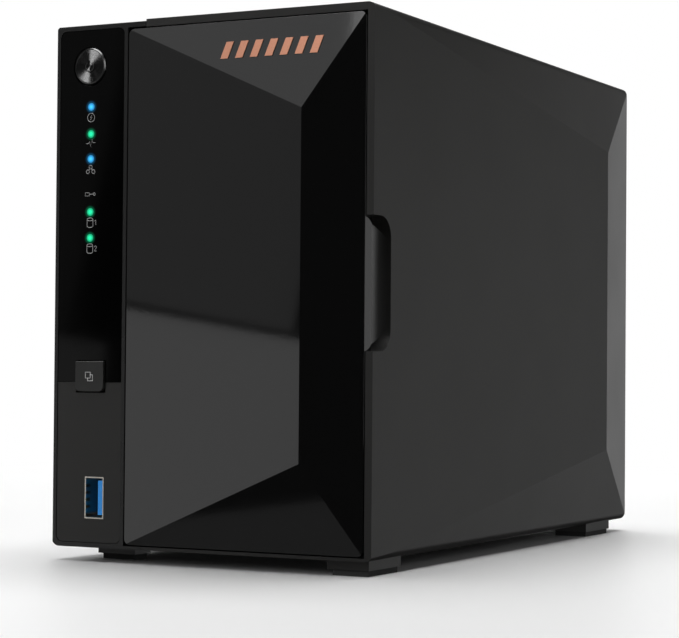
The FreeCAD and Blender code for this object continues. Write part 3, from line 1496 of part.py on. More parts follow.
blade_ring = cut(
    "blade_ring",
    rod("blade_space", "Y", (fan_x, rotor_front, fan_z), dim.fan_tip, rotor_back - rotor_front),
    [rod("hub_space", "Y", (fan_x, rotor_front - SHORT, fan_z), dim.fan_hub - dim.wall / 2, dim.fan_deep)],
)
blade_set = shared("blade_set", fused("blade_fan", blades), blade_ring)
rotor_solid = cut("rotor_hub_shell", hub_shell, [hub_room])
keep("fan_rotor", fused("rotor_body", [rotor_solid, blade_set, shaft]))

fan_screws = []
for number, (x, z) in enumerate(fan_corners, start=1):
    head = rod(f"fan_head_{number}", "Y", (x, sheet_back, z), dim.fan_screw_head, dim.screw_head_tall)
    shank = rod(f"fan_shank_{number}", "Y", (x, fan_front + dim.fan_screw_tip, z),
                dim.fan_hole - dim.piece_gap / 2, sheet_back - fan_front - dim.fan_screw_tip)
    fan_screws.append(fused(f"fan_screw_{number}", [head, shank]))
keep("fan_screws", group("fan_fasteners", fan_screws))

# ----------------------------------------------------------------------------------------------------------
# Check and write
# ----------------------------------------------------------------------------------------------------------

doc.recompute()
for thing in doc.Objects:
    if "Invalid" in thing.State or "Error" in thing.State:
        raise RuntimeError(f"{thing.Name} did not build: {thing.State}")
for node, piece in nodes.items():
    if piece.Shape.isNull() or not piece.Shape.isValid() or not piece.Shape.Solids:
        raise RuntimeError(f"{node} has no valid solid")

os.makedirs("parts", exist_ok=True)
for node, piece in nodes.items():
    piece.Shape.exportStep(f"parts/{node}.step")
print(f"{len(nodes)} pieces written")
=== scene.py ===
from math import cos, pi, radians, sin, tau

import bmesh
import bpy
from mathutils import Matrix, Vector


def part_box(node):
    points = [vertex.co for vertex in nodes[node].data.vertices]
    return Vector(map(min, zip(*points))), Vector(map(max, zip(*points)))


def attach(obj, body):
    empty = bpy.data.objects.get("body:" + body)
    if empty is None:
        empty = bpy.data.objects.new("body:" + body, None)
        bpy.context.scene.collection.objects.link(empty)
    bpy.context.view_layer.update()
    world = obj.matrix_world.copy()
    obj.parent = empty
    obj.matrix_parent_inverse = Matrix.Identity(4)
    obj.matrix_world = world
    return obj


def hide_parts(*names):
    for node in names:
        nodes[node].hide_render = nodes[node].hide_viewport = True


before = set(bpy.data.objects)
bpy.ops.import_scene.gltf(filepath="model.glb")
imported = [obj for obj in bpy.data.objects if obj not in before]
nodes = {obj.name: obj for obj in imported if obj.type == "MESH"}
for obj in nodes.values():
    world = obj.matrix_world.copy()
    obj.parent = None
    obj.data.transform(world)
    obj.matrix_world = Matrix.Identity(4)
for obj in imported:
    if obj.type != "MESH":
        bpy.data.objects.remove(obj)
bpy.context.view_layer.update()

MM = 0.001

# ---------------------------------------------------------------------------------------------------------
# Camera: a long lens low down at the front right of the case.  It looks very slightly upwards, so the top
# shows only as an edge.
# ---------------------------------------------------------------------------------------------------------

CAMERA_PLACE = (0.3547, -0.6890, 0.0615)
CAMERA_TURN, CAMERA_RISE, CAMERA_ROLL = radians(28.14), radians(1.27), radians(0.455)
camera_data = bpy.data.cameras.new("camera")
camera_data.sensor_width = 36
camera_data.lens = 117.1
camera_data.clip_start = 0.01
camera = bpy.data.objects.new("camera", camera_data)
camera.matrix_world = (
    Matrix.Translation(CAMERA_PLACE)
    @ Matrix.Rotation(CAMERA_TURN, 4, "Z")
    @ Matrix.Rotation(pi / 2 + CAMERA_RISE, 4, "X")
    @ Matrix.Rotation(CAMERA_ROLL, 4, "Z")
)
bpy.context.scene.collection.objects.link(camera)
bpy.context.scene.camera = camera
bpy.context.scene.view_settings.view_transform = "Standard"

# ---------------------------------------------------------------------------------------------------------
# Studio: a white paper floor under a large ceiling softbox.  Dimmer cards stand around the object at the
# angles where its gloss picks them up, so black plastic reads as black with clear facets.
# ---------------------------------------------------------------------------------------------------------


def add(tree, kind, inputs=None, **settings):
    """Adds one node: settings are its properties, inputs are values for its sockets or sockets to join."""
    made = tree.nodes.new(kind)
    for name, value in settings.items():
        setattr(made, name, value)
    for key, value in (inputs or {}).items():
        if isinstance(value, bpy.types.NodeSocket):
            tree.links.new(value, made.inputs[key])
        else:
            made.inputs[key].default_value = value
    return made


def linear(code, alpha=1.0):
    """An sRGB hex colour as the linear colour that a shader takes."""
    shares = [int(code[at:at + 2], 16) / 255 for at in (0, 2, 4)]
    return (*[share / 12.92 if share <= 0.04045 else ((share + 0.055) / 1.055) ** 2.4
              for share in shares], alpha)


def new_material(name):
    """An empty material, its tree and its object coordinates."""
    made = bpy.data.materials.new(name)
    made.use_nodes = True
    made.node_tree.nodes.clear()
    return made, made.node_tree, add(made.node_tree, "ShaderNodeTexCoord").outputs["Object"]


def surface(tree, shader):
    """Joins a shader to the material's output."""
    add(tree, "ShaderNodeOutputMaterial", {"Surface": shader.outputs[0]})


def mesh_object(name, vertices, faces):
    """A mesh object at the origin, from its points and faces."""
    data = bpy.data.meshes.new(name)
    data.from_pydata(vertices, [], faces)
    made = bpy.data.objects.new(name, data)
    bpy.context.scene.collection.objects.link(made)
    return made


FLOOR_HALF = 12.0
PAPER_NEAR, PAPER_FAR = 0.28, 0.62     # between these distances the paper burns out to white
ROOM_LEVEL = 0.04
floor = mesh_object(
    "studio_floor",
    [(-FLOOR_HALF, -FLOOR_HALF, 0), (FLOOR_HALF, -FLOOR_HALF, 0),
     (FLOOR_HALF, FLOOR_HALF, 0), (-FLOOR_HALF, FLOOR_HALF, 0)],
    [(0, 1, 2, 3)],
)
# Studio paper: a soft white sheet that holds the shadow near the object.
paper, tree, place = new_material("studio_paper")
fibre = add(tree, "ShaderNodeTexNoise", {"Vector": place, "Scale": 1 / (2 * MM), "Detail": 3.0})
near = add(tree, "ShaderNodeBsdfPrincipled", {
    "Base Color": linear("f2f2f2"),
    "Roughness": add(tree, "ShaderNodeMapRange", {
        "Value": fibre.outputs[0], "To Min": 0.42, "To Max": 0.5}).outputs[0],
    "Specular IOR Level": 0.3,
})
far = add(tree, "ShaderNodeEmission", {"Color": linear("ffffff"), "Strength": 1.0})
away = add(tree, "ShaderNodeVectorMath", {0: place}, operation="LENGTH")
fading = add(tree, "ShaderNodeMapRange", {"Value": away.outputs["Value"], "From Min": PAPER_NEAR,
                                          "From Max": PAPER_FAR},
             interpolation_type="SMOOTHSTEP")
surface(tree, add(tree, "ShaderNodeMixShader", {
    0: fading.outputs[0], 1: near.outputs[0], 2: far.outputs[0]}))
floor.data.materials.append(paper)
floor.visible_glossy = False

world = bpy.data.worlds.new("studio")
bpy.context.scene.world = world
world.use_nodes = True
tree = world.node_tree
tree.nodes.clear()
to_camera = add(tree, "ShaderNodeLightPath").outputs["Is Camera Ray"]
room = add(tree, "ShaderNodeBackground", {"Color": linear("ffffff"), "Strength": ROOM_LEVEL})
sweep = add(tree, "ShaderNodeBackground", {"Color": linear("ffffff"), "Strength": 1.0})
mixed = add(tree, "ShaderNodeMixShader", {0: to_camera, 1: room.outputs[0], 2: sweep.outputs[0]})
add(tree, "ShaderNodeOutputWorld", {"Surface": mixed.outputs[0]})

LIGHT_REACH = 8.0
ALL_RAYS, GLOSS, DIFFUSE = (True, True), (False, True), (True, False)


def softbox(name, azimuth, elevation, wide, tall, radiance, seen_by=ALL_RAYS, roll=0):
    """A rectangular light far off, given by its bearing from the door's side (+ to the right), its height
    above the horizon and its spread, all in degrees."""
    data = bpy.data.lights.new(name, "AREA")
    data.shape = "RECTANGLE"
    data.size = 2 * LIGHT_REACH * sin(radians(wide / 2))
    data.size_y = 2 * LIGHT_REACH * sin(radians(tall / 2))
    data.energy = 4 * radiance * data.size * data.size_y
    made = bpy.data.objects.new(name, data)
    made.matrix_world = (
        Matrix.Rotation(radians(azimuth), 4, "Z")
        @ Matrix.Rotation(pi / 2 - radians(elevation), 4, "X")
        @ Matrix.Translation((0, 0, LIGHT_REACH))
        @ Matrix.Rotation(radians(roll), 4, "Z")
    )
    made.visible_camera = False
    made.visible_diffuse, made.visible_glossy = seen_by
    bpy.context.scene.collection.objects.link(made)


# Light from above, and a little for the front that the gloss does not show.
softbox("ceiling", -165, 80, 44, 40, 5.2)
softbox("front_fill", -12, 24, 40, 30, 1.0, DIFFUSE)
# What the door's facets mirror.
softbox("front_left_box", -36, 25, 15, 12, 0.80, GLOSS)
softbox("front_right_box", -22, 25, 13, 12, 1.5, GLOSS)
softbox("left_card", -45.4, 9.8, 24, 13, 0.27, GLOSS, roll=-9.7)
softbox("left_low_card", -46.6, -3.8, 24, 14, 0.82, GLOSS, roll=-9.7)
softbox("floor_card", -30, -22, 24, 12, 0.16, GLOSS)
# Highlights along rounded edges.
softbox("edge_strip", 58, 16, 26, 40, 3.4, GLOSS)
softbox("edge_top", -20, 62, 50, 30, 9.0, GLOSS)
# The satin side walls and the back.
softbox("right_box", 95, 24, 30, 20, 0.8)
softbox("side_fill", 118, 4, 36, 50, 0.3, DIFFUSE)
softbox("side_glow", 143, -9, 30, 40, 0.42, GLOSS)
softbox("back_wall", 187, 2, 30, 30, 1.0)
softbox("rear_left_box", -140, 24, 40, 24, 1.2)
softbox("left_side_box", -92, 24, 30, 20, 1.0)

# ---------------------------------------------------------------------------------------------------------
# Case shells: two ABS mouldings, spark-eroded to a fine satin texture and screwed together inside.  The
# seam runs over the top and the underside.
# ---------------------------------------------------------------------------------------------------------


GLOSS_DRIFT = 0.08                # how far the roughness drifts either way, as a share of itself
GRAIN_DEPTH = 0.05 * MM


def moulded(name, dark, light, roughness, grain, relief, blotch=30 * MM, **extra):
    """A moulded plastic: a fine grain from the tool and a slow drift of shade and gloss over the part."""
    made, tree, place = new_material(name)
    drift = add(tree, "ShaderNodeTexNoise", {"Vector": place, "Scale": 1 / blotch, "Detail": 2.0}).outputs[0]
    pits = add(tree, "ShaderNodeTexNoise", {"Vector": place, "Scale": 1 / grain, "Detail": 2.0}).outputs[0]
    shade = add(tree, "ShaderNodeMix", {"Factor": drift, "A": linear(dark), "B": linear(light)},
                data_type="RGBA")
    gloss = add(tree, "ShaderNodeMapRange", {"Value": drift, "To Min": roughness * (1 - GLOSS_DRIFT),
                                              "To Max": roughness * (1 + GLOSS_DRIFT)})
    bump = add(tree, "ShaderNodeBump", {"Height": pits, "Strength": relief, "Distance": GRAIN_DEPTH})
    surface(tree, add(tree, "ShaderNodeBsdfPrincipled", {
        "Base Color": shade.outputs["Result"], "Roughness": gloss.outputs[0],
        "Normal": bump.outputs[0], "IOR": 1.5, **extra,
    }))
    return made


def dress(material, *names):
    """Gives CAD pieces their finish."""
    for name in names:
        for held in nodes[name].material_slots:
            held.material = material


MERGE = 0.002 * MM                # points closer than this are one
JOIN = radians(0.4)               # faces closer than this to one plane are joined
FLAT = radians(0.5)               # faces closer than this to one plane belong to one facet
FACET = 60 * MM * MM              # facets larger than this keep a sharp ridge between them
SHARP = radians(35)               # edges that bend more than this are rounded
SOCKET_RIM = 0.3 * MM             # how far round an inlay the edges stay crisp


def merged(node):
    """A bmesh copy of a CAD piece, with its loose triangles joined into flat faces."""
    shape = bmesh.new()
    shape.from_mesh(nodes[node].data)
    bmesh.ops.remove_doubles(shape, verts=shape.verts, dist=MERGE)
    bmesh.ops.dissolve_limit(shape, angle_limit=JOIN, verts=shape.verts, edges=shape.edges)
    return shape


def facet_areas(shape):
    """The area of the flat facet that each face of a mesh belongs to."""
    areas = {}
    for start in shape.faces:
        if start in areas:
            continue
        facet, to_visit = {start}, [start]
        while to_visit:
            for edge in to_visit.pop().edges:
                if edge.calc_face_angle(0) < FLAT:
                    fresh = set(edge.link_faces) - facet
                    facet |= fresh
                    to_visit += fresh
        total = sum(face.calc_area() for face in facet)
        areas.update(dict.fromkeys(facet, total))
    return areas


def eased(node, material, body, radius, inlay=None):
    """Stands for a CAD piece with its sharp edges rounded, as a moulding tool leaves them.  The edges round
    an inlay stay crisp."""
    shape = merged(node)
    areas = facet_areas(shape)
    rounding = shape.edges.layers.float.new("bevel_weight_edge")
    if inlay:
        inlay_low, inlay_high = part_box(inlay)
    for edge in shape.edges:
        wide = all(areas[face] > FACET for face in edge.link_faces)
        bend = edge.calc_face_angle(0)
        edge.smooth = not wide and bend < SHARP
        crisp = inlay and all(
            inlay_low.x - SOCKET_RIM < point.co.x < inlay_high.x + SOCKET_RIM
            and inlay_low.z - SOCKET_RIM < point.co.z < inlay_high.z + SOCKET_RIM for point in edge.verts
        )
        edge[rounding] = float(bend > SHARP and not crisp)
    for face in shape.faces:
        face.smooth = True
    data = bpy.data.meshes.new(f"{node}_eased")
    shape.to_mesh(data)
    shape.free()
    piece = bpy.data.objects.new(f"{node}_moulding", data)
    bpy.context.scene.collection.objects.link(piece)
    data.materials.clear()
    data.materials.append(material)
    bevel = piece.modifiers.new("ease", "BEVEL")
    bevel.width = radius
    bevel.segments = 3
    bevel.limit_method = "WEIGHT"
    bevel.harden_normals = True
    bevel.miter_outer = "MITER_ARC"
    finished = bpy.data.meshes.new_from_object(piece.evaluated_get(bpy.context.evaluated_depsgraph_get()))
    piece.modifiers.clear()
    piece.data = finished
    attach(piece, body)
    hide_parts(node)


# Satin black ABS: a wide soft sheen over a fine grain, so that the walls read as dark grey planes.
case_plastic = moulded("satin_black_abs", "12110f", "161513", roughness=0.42, grain=0.35 * MM, relief=0.35)
dress(case_plastic, "left_shell", "right_shell")

# ---------------------------------------------------------------------------------------------------------
# Front bezel: one ABS moulding, the thin rim of the control column and the frame around the bays.  It is
# smoother than the shells.
# ---------------------------------------------------------------------------------------------------------

# Smooth black ABS: a tighter sheen than the shells, darker between its highlights.
bezel_plastic = moulded("smooth_black_abs", "0d0d0d", "121212", roughness=0.28, grain=0.25 * MM, relief=0.15)
dress(bezel_plastic, "front_bezel")

# ---------------------------------------------------------------------------------------------------------
# Window: a polished smoked acrylic plate over the lights.  It is black until a light shines through, and a
# small halo of painted glow lies round each one.
# ---------------------------------------------------------------------------------------------------------

lights_low, lights_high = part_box("light_guides")
light_x = (lights_low.x + lights_high.x) / 2
LIGHT_RADIUS = (lights_high.x - lights_low.x) / 2
LIGHT_DROPS = (0, 8.6 * MM, 16.5 * MM, 33.3 * MM, 41.5 * MM)     # below the first light
LIGHT_COLOURS = ("38b6ff", "17e8a0", "38b6ff", "17e8a0", "17e8a0")
first_light = lights_high.z - LIGHT_RADIUS
light_places = [Vector((light_x, lights_low.y, first_light - drop)) for drop in LIGHT_DROPS]


def light_colours(tree, level_at):
    """Adds up the lights' colours, each as strong as level_at says that it is round its own place."""
    total = None
    for spot, colour in zip(light_places, LIGHT_COLOURS):
        tint = add(tree, "ShaderNodeVectorMath", {0: linear(colour)[:3], "Scale": level_at(spot)},
                   operation="SCALE")
        total = tint if total is None else add(tree, "ShaderNodeVectorMath", {
            0: total.outputs[0], 1: tint.outputs[0]})
    return total.outputs[0]


# Smoked acrylic: a black mirror, with a faint coloured halo of painted glow round each light.
window_gloss, tree, place = new_material("smoked_acrylic")
HALO_REACH, HALO_LEVEL = 1.9, 0.10


def halo(spot):
    """A faint level of painted glow that fades out from a light's edge."""
    reach = add(tree, "ShaderNodeVectorMath", {0: place, 1: spot}, operation="DISTANCE")
    return add(tree, "ShaderNodeMapRange", {
        "Value": reach.outputs["Value"], "From Min": LIGHT_RADIUS, "From Max": HALO_REACH * LIGHT_RADIUS,
        "To Min": HALO_LEVEL, "To Max": 0.0}, interpolation_type="SMOOTHERSTEP").outputs[0]


glow = light_colours(tree, halo)
swirl = add(tree, "ShaderNodeTexNoise", {"Vector": place, "Scale": 1 / (6 * MM), "Detail": 4.0}).outputs[0]
surface(tree, add(tree, "ShaderNodeBsdfPrincipled", {
    "Base Color": linear("020202"),
    "Roughness": add(tree, "ShaderNodeMapRange", {
        "Value": swirl, "To Min": 0.03, "To Max": 0.07}).outputs[0],
    "IOR": 1.49, "Specular IOR Level": 0.1,
    "Emission Color": glow, "Emission Strength": 1.0,
}))
dress(window_gloss, "strip_window")

# ---------------------------------------------------------------------------------------------------------
# Lower panel: an ABS moulding that closes the column below the window, flush with it, and frames the front
# socket.
# ---------------------------------------------------------------------------------------------------------

# Fine satin ABS: an even dark grey, a little livelier than the case.
panel_satin = moulded("fine_satin_abs", "1a1917", "1e1d1b", roughness=0.34, grain=0.3 * MM, relief=0.2)
dress(panel_satin, "strip_lower_panel")

# ---------------------------------------------------------------------------------------------------------
# Lights: clear acrylic rods pressed into the window, each over its own chip on the front board.  They show
# whether the power, the unit, the network and the two drives are at work.
# ---------------------------------------------------------------------------------------------------------

# Lit clear acrylic: a nearly white core that turns blue or green towards the rim.
guide_glow, tree, place = new_material("lit_clear_acrylic")
CORE_LEVEL, RIM_LEVEL = 1.7, 0.55
GUIDE_REACH = 1.5


def rod_level(spot):
    """A level that falls from the middle of a light's rod to its rim, and is nothing elsewhere."""
    apart = add(tree, "ShaderNodeVectorMath", {0: place, 1: spot}, operation="SUBTRACT")
    flat = add(tree, "ShaderNodeVectorMath", {0: apart.outputs[0], 1: (1, 0, 1)}, operation="MULTIPLY")
    reach = add(tree, "ShaderNodeVectorMath", {0: flat.outputs[0]}, operation="LENGTH").outputs["Value"]
    inside = add(tree, "ShaderNodeMath", {0: reach, 1: GUIDE_REACH * LIGHT_RADIUS}, operation="LESS_THAN")
    core = add(tree, "ShaderNodeMapRange", {
        "Value": reach, "From Min": 0.0, "From Max": LIGHT_RADIUS, "To Min": CORE_LEVEL, "To Max": RIM_LEVEL,
    }, interpolation_type="SMOOTHSTEP")
    return add(tree, "ShaderNodeMath", {0: inside.outputs[0], 1: core.outputs[0]},
               operation="MULTIPLY").outputs[0]


hue = light_colours(tree, rod_level)
surface(tree, add(tree, "ShaderNodeBsdfPrincipled", {
    "Base Color": linear("101820"), "Roughness": 0.2, "IOR": 1.49,
    "Emission Color": hue, "Emission Strength": 1.0,
}))
dress(guide_glow, "light_guides")

# ---------------------------------------------------------------------------------------------------------
# Door: one faceted ABS panel, moulded in a polished tool that leaves a deep gloss.  Magnets in its back hold
# it over the bays.
# ---------------------------------------------------------------------------------------------------------

# Polished black ABS: a near mirror, so that each facet is one clear tone and the ridges are crisp.
door_gloss = moulded("polished_black_abs", "050505", "070707", roughness=0.035, grain=1.2 * MM, relief=0.02,
                     blotch=45 * MM)
eased("door_panel", door_gloss, "door", 1.2 * MM, inlay="badge_inlay")

# ---------------------------------------------------------------------------------------------------------
# Power button: an aluminium disc turned on a lathe, so that fine rings run round it, with a power sign
# engraved in the middle.  It is anodised black.
# ---------------------------------------------------------------------------------------------------------


def lathe(name, profile, centre, axis, steps=64):
    """A turned piece: profile is (radius, height) from the middle out, and height runs along the axis."""
    across = axis.orthogonal().normalized()
    up = axis.cross(across)
    points, faces = [], []
    for radius, height in profile:
        for step in range(steps):
            turn = tau * step / steps
            points.append(centre + axis * height + across * radius * cos(turn) + up * radius * sin(turn))
    for ring in range(len(profile) - 1):
        for step in range(steps):
            after = (step + 1) % steps
            faces.append((ring * steps + step, ring * steps + after,
                          (ring + 1) * steps + after, (ring + 1) * steps + step))
    piece = mesh_object(name, points, faces)
    shape = bmesh.new()
    shape.from_mesh(piece.data)
    bmesh.ops.remove_doubles(shape, verts=shape.verts, dist=MERGE)
    bmesh.ops.holes_fill(shape, edges=shape.edges)
    bmesh.ops.recalc_face_normals(shape, faces=shape.faces)
    shape.to_mesh(piece.data)
    shape.free()
    return piece


def finish_piece(piece, material, body, slot, *replaced):
    """Gives a made piece its finish and its body, and hides the CAD pieces that it stands for.  Its slot is
    not used.
    """
    piece.data.materials.clear()
    piece.data.materials.append(material)
    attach(piece, body)
    if replaced:
        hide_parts(*replaced)


def strokes(name, lines, width, place, proud):
    """Thin printed or engraved lines on a face that looks to -Y; each line is a list of (x, z) in mm."""
    curve = bpy.data.curves.new(name, "CURVE")
    curve.dimensions = "3D"
    curve.bevel_depth = width / 2
    curve.bevel_resolution = 1
    for line in lines:
        spline = curve.splines.new("POLY")
        closed = line[0] == line[-1]
        points = line[:-1] if closed else line
        spline.points.add(len(points) - 1)
        for point, (x, z) in zip(spline.points, points):
            point.co = (x * MM, 0, z * MM, 1)
        spline.use_cyclic_u = closed
    curve.use_fill_caps = True
    holder = bpy.data.objects.new(name, curve)
    bpy.context.scene.collection.objects.link(holder)
    flat = bpy.data.meshes.new_from_object(holder.evaluated_get(bpy.context.evaluated_depsgraph_get()))
    bpy.data.objects.remove(holder)
    flat.transform(Matrix.Translation(place) @ Matrix.Diagonal((1, 2 * proud / width, 1, 1)))
    piece = bpy.data.objects.new(name, flat)
    bpy.context.scene.collection.objects.link(piece)
    return piece


def arc(x, z, radius, start, end, steps=20):
    """Points in mm along an arc, with its angles in degrees."""
    turns = [radians(start + (end - start) * i / steps) for i in range(steps + 1)]
    return [(x + radius * cos(turn), z + radius * sin(turn)) for turn in turns]


# Turned black anodised aluminium: dark, with fine rings that catch the light.
anodised, tree, place = new_material("turned_black_anodised")
surface(tree, add(tree, "ShaderNodeBsdfPrincipled", {
    "Base Color": add(tree, "ShaderNodeMix", {
        "Factor": add(tree, "ShaderNodeTexNoise", {"Vector": place, "Scale": 1 / (3 * MM)}).outputs[0],
        "A": linear("424242"), "B": linear("4e4e4e")}, data_type="RGBA").outputs["Result"],
    "Metallic": 1.0, "Roughness": 0.24,
}))
button_low, button_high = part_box("power_button")
BUTTON_RADIUS = 5.9 * MM
BUTTON_RINGS = 15
GROOVE = 0.09 * MM
RIM_EASE, RIM_DROP = 0.35 * MM, 0.04 * MM
FLANGE_WIDE, FLANGE_THICK = 0.9 * MM, 1.2 * MM
AXIS = 0.0001 * MM                # a turned outline starts this close to its axis
button_middle = Vector((button_low.x + button_high.x, 0, button_low.z + button_high.z)) / 2
button_middle.y = button_low.y
profile = [(AXIS, GROOVE)]
ring_pitch = (BUTTON_RADIUS - 2 * RIM_EASE) / BUTTON_RINGS
for ring in range(BUTTON_RINGS):
    profile += [(ring_pitch * (ring + 0.5), 0), (ring_pitch * (ring + 1), GROOVE)]
flange_end = button_high.y - button_low.y
flange_start = flange_end - FLANGE_THICK
flange_radius = BUTTON_RADIUS + FLANGE_WIDE
profile += [(BUTTON_RADIUS - RIM_EASE, RIM_DROP), (BUTTON_RADIUS, RIM_EASE), (BUTTON_RADIUS, flange_start),
            (flange_radius, flange_start), (flange_radius, flange_end), (AXIS, flange_end)]
power_button = lathe("power_button_disc", profile, button_middle, Vector((0, 1, 0)), steps=96)
finish_piece(power_button, anodised, "power_button", "power_key", "power_button")

# Engraved black: a dull line that swallows the light.
engraving = moulded("engraved_black", "010101", "040404", roughness=0.6, grain=0.3 * MM, relief=0.1)
POWER_SIGN = [arc(0, -0.1, 1.5, 125, 415), [(0, 0.2), (0, 2.0)]]
power_sign = strokes("power_sign", POWER_SIGN, 0.36 * MM, button_middle, 0.03 * MM)
finish_piece(power_sign, engraving, "power_button", "power_key")

# ---------------------------------------------------------------------------------------------------------
# Signs under the lights: thin pale grey lines printed on the window.  They stand for power, activity,
# network, the socket and the two drives.
# ---------------------------------------------------------------------------------------------------------

# Pale screen print: thin matt grey lines on the gloss.
print_grey = moulded("pale_screen_print", "8e8e8e", "9c9c9c", roughness=0.55, grain=0.2 * MM, relief=0.1)
LINE = 0.24 * MM
INK = 0.02 * MM
SIGN_DROP = 3.4 * MM
SOCKET_SIGN_DROP = 11.2 * MM
DIGIT_ASIDE = 2.1 * MM
window_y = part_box("strip_window")[0].y


def sign(name, middle_z, lines, side=0.0):
    """Prints one sign on the window, with its middle below a light."""
    place = Vector((light_x + side, window_y, middle_z))
    finish_piece(strokes(name, lines, LINE, place, INK), print_grey, "case", "window_gloss")


def cylinder_sign():
    """A drive's sign: a drum with an elliptical lid."""
    wide, tall, squash = 1.1, 1.05, 0.42
    lid = [(x, tall + z * squash) for x, z in arc(0, 0, wide, 0, 360, 16)]
    bowl = [(x, -tall + z * squash) for x, z in arc(0, 0, wide, 180, 360, 8)]
    return [lid, [(-wide, tall), *bowl, (wide, tall)]]


spots = [spot.z - SIGN_DROP for spot in light_places]
sign("power_mark", spots[0],
     [arc(0, 0, 1.35, 0, 360), [(0.35, 0.8), (-0.4, -0.05), (0.4, 0.05), (-0.35, -0.8)]])
sign("activity_mark", spots[1] + 0.5 * MM,
     [[(-1.7, -0.1), (-0.8, -0.1), (-0.45, 0.5), (0, -1.1), (0.45, 1.2), (0.8, 0.1), (1.7, 0.1)]])
sign("network_mark", spots[2],
     [arc(0, 0.8, 0.6, 0, 360, 12), arc(-1.05, -0.65, 0.6, 0, 360, 12), arc(1.05, -0.65, 0.6, 0, 360, 12),
      [(-0.3, 0.28), (-0.75, -0.13)], [(0.3, 0.28), (0.75, -0.13)]])
sign("socket_mark", light_places[2].z - SOCKET_SIGN_DROP,
     [[(-1.9, -0.5), (-0.4, -0.5), (-0.4, 0.5), (-1.9, 0.5), (-1.9, -0.5)], [(-0.4, 0), (1.1, 0)],
      arc(1.5, 0, 0.4, 0, 360, 10)])
sign("drive_mark_1", spots[3], cylinder_sign())
sign("drive_mark_2", spots[4], cylinder_sign())
sign("digit_1", spots[3], [[(-0.35, 0.45), (0.1, 0.8), (0.1, -0.8)]], side=DIGIT_ASIDE)
sign("digit_2", spots[4], [[*arc(0, 0.4, 0.42, 170, -30, 8), (-0.45, -0.8), (0.5, -0.8)]], side=DIGIT_ASIDE)

# ---------------------------------------------------------------------------------------------------------
# Copy button: a square ABS key with eased edges that stands out from the panel.  The switch behind it
# springs it back, and two overlapping sheets are printed on it.
# ---------------------------------------------------------------------------------------------------------

# Matt black key: a little paler than the panels round it.
key_plastic = moulded("matt_black_key", "1a1a19", "20201e", roughness=0.42, grain=0.2 * MM, relief=0.25)
eased("copy_button", key_plastic, "copy_button", 0.35 * MM)
copy_low, copy_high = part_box("copy_button")
copy_face = Vector((copy_low.x + copy_high.x, 0, copy_low.z + copy_high.z)) / 2
copy_face.y = copy_low.y
SHEET, LAP = 1.35, 0.5            # how far the sheets reach out, and how far they lap, in mm
copy_sign = strokes("copy_mark", [
    [(-SHEET, -LAP), (LAP, -LAP), (LAP, SHEET), (-SHEET, SHEET), (-SHEET, -LAP)],
    [(-LAP, -LAP), (-LAP, -SHEET), (SHEET, -SHEET), (SHEET, LAP), (LAP, LAP)],
], 0.3 * MM, copy_face, INK)
# Bright screen print: the clearest sign on the front.
bright_print = moulded("bright_screen_print", "bdbdbd", "c8c8c8", roughness=0.5, grain=0.2 * MM, relief=0.1)
finish_piece(copy_sign, bright_print, "copy_button", "copy_key")

# ---------------------------------------------------------------------------------------------------------
# Boards: glass fibre laminate under green solder mask.  The copper tracks under the mask show through it as
# paler lines.
# ---------------------------------------------------------------------------------------------------------

TRACK = 0.9 * MM
# Green solder mask: glossy green with paler tracks under it.
board_mask, tree, place = new_material("green_solder_mask")
cells = add(tree, "ShaderNodeTexBrick", {
    "Vector": add(tree, "ShaderNodeMapping", {"Vector": place, "Rotation": (0, pi / 2, 0)}).outputs[0],
    "Scale": 1.0, "Mortar Size": 0.12 * TRACK, "Mortar Smooth": 0.2, "Brick Width": 7 * TRACK,
    "Row Height": TRACK, "Color1": linear("0d3d22"), "Color2": linear("0a3420"),
    "Mortar": linear("1f6b3c")})
surface(tree, add(tree, "ShaderNodeBsdfPrincipled", {
    "Base Color": cells.outputs["Color"],
    "Roughness": add(tree, "ShaderNodeMapRange", {
        "Value": cells.outputs["Fac"], "To Min": 0.30, "To Max": 0.42}).outputs[0],
    "Normal": add(tree, "ShaderNodeBump", {"Height": cells.outputs["Fac"], "Strength": 0.3,
                                           "Distance": 0.05 * MM}).outputs[0],
    "Coat Weight": 0.3, "Coat Roughness": 0.1,
}))
dress(board_mask, "front_board", "backplane_board", "mainboard", "drive_board_1", "drive_board_2")

# Moulded epoxy and nylon: dull blacks beside the green.
chip_epoxy = moulded("moulded_chip_epoxy", "0d0d0e", "151516", roughness=0.55, grain=0.25 * MM, relief=0.3)
dress(chip_epoxy, "processor", "memory_chips")
socket_nylon = moulded("black_nylon", "0b0b0b", "121212", roughness=0.45, grain=0.4 * MM, relief=0.25)
dress(socket_nylon, "sata_sockets", "link_socket", "power_switch", "copy_switch", "reset_switch", "dc_jack")
# Ferrite and resin: rough dark coils, and small milky blocks where the lights are.
ferrite = moulded("ferrite_grey", "25262a", "303136", roughness=0.6, grain=0.3 * MM, relief=0.5)
dress(ferrite, "power_inductors")
led_resin = moulded("white_led_resin", "d8d6c8", "e8e6da", roughness=0.3, grain=0.2 * MM, relief=0.1)
dress(led_resin, "indicator_leds")


STREAK = 40                       # how many times longer than wide a drawn mark is
MARK_DRIFT = 0.2                  # how far the roughness changes from mark to mark, as a share of itself
MARK_DEPTH = 0.02 * MM


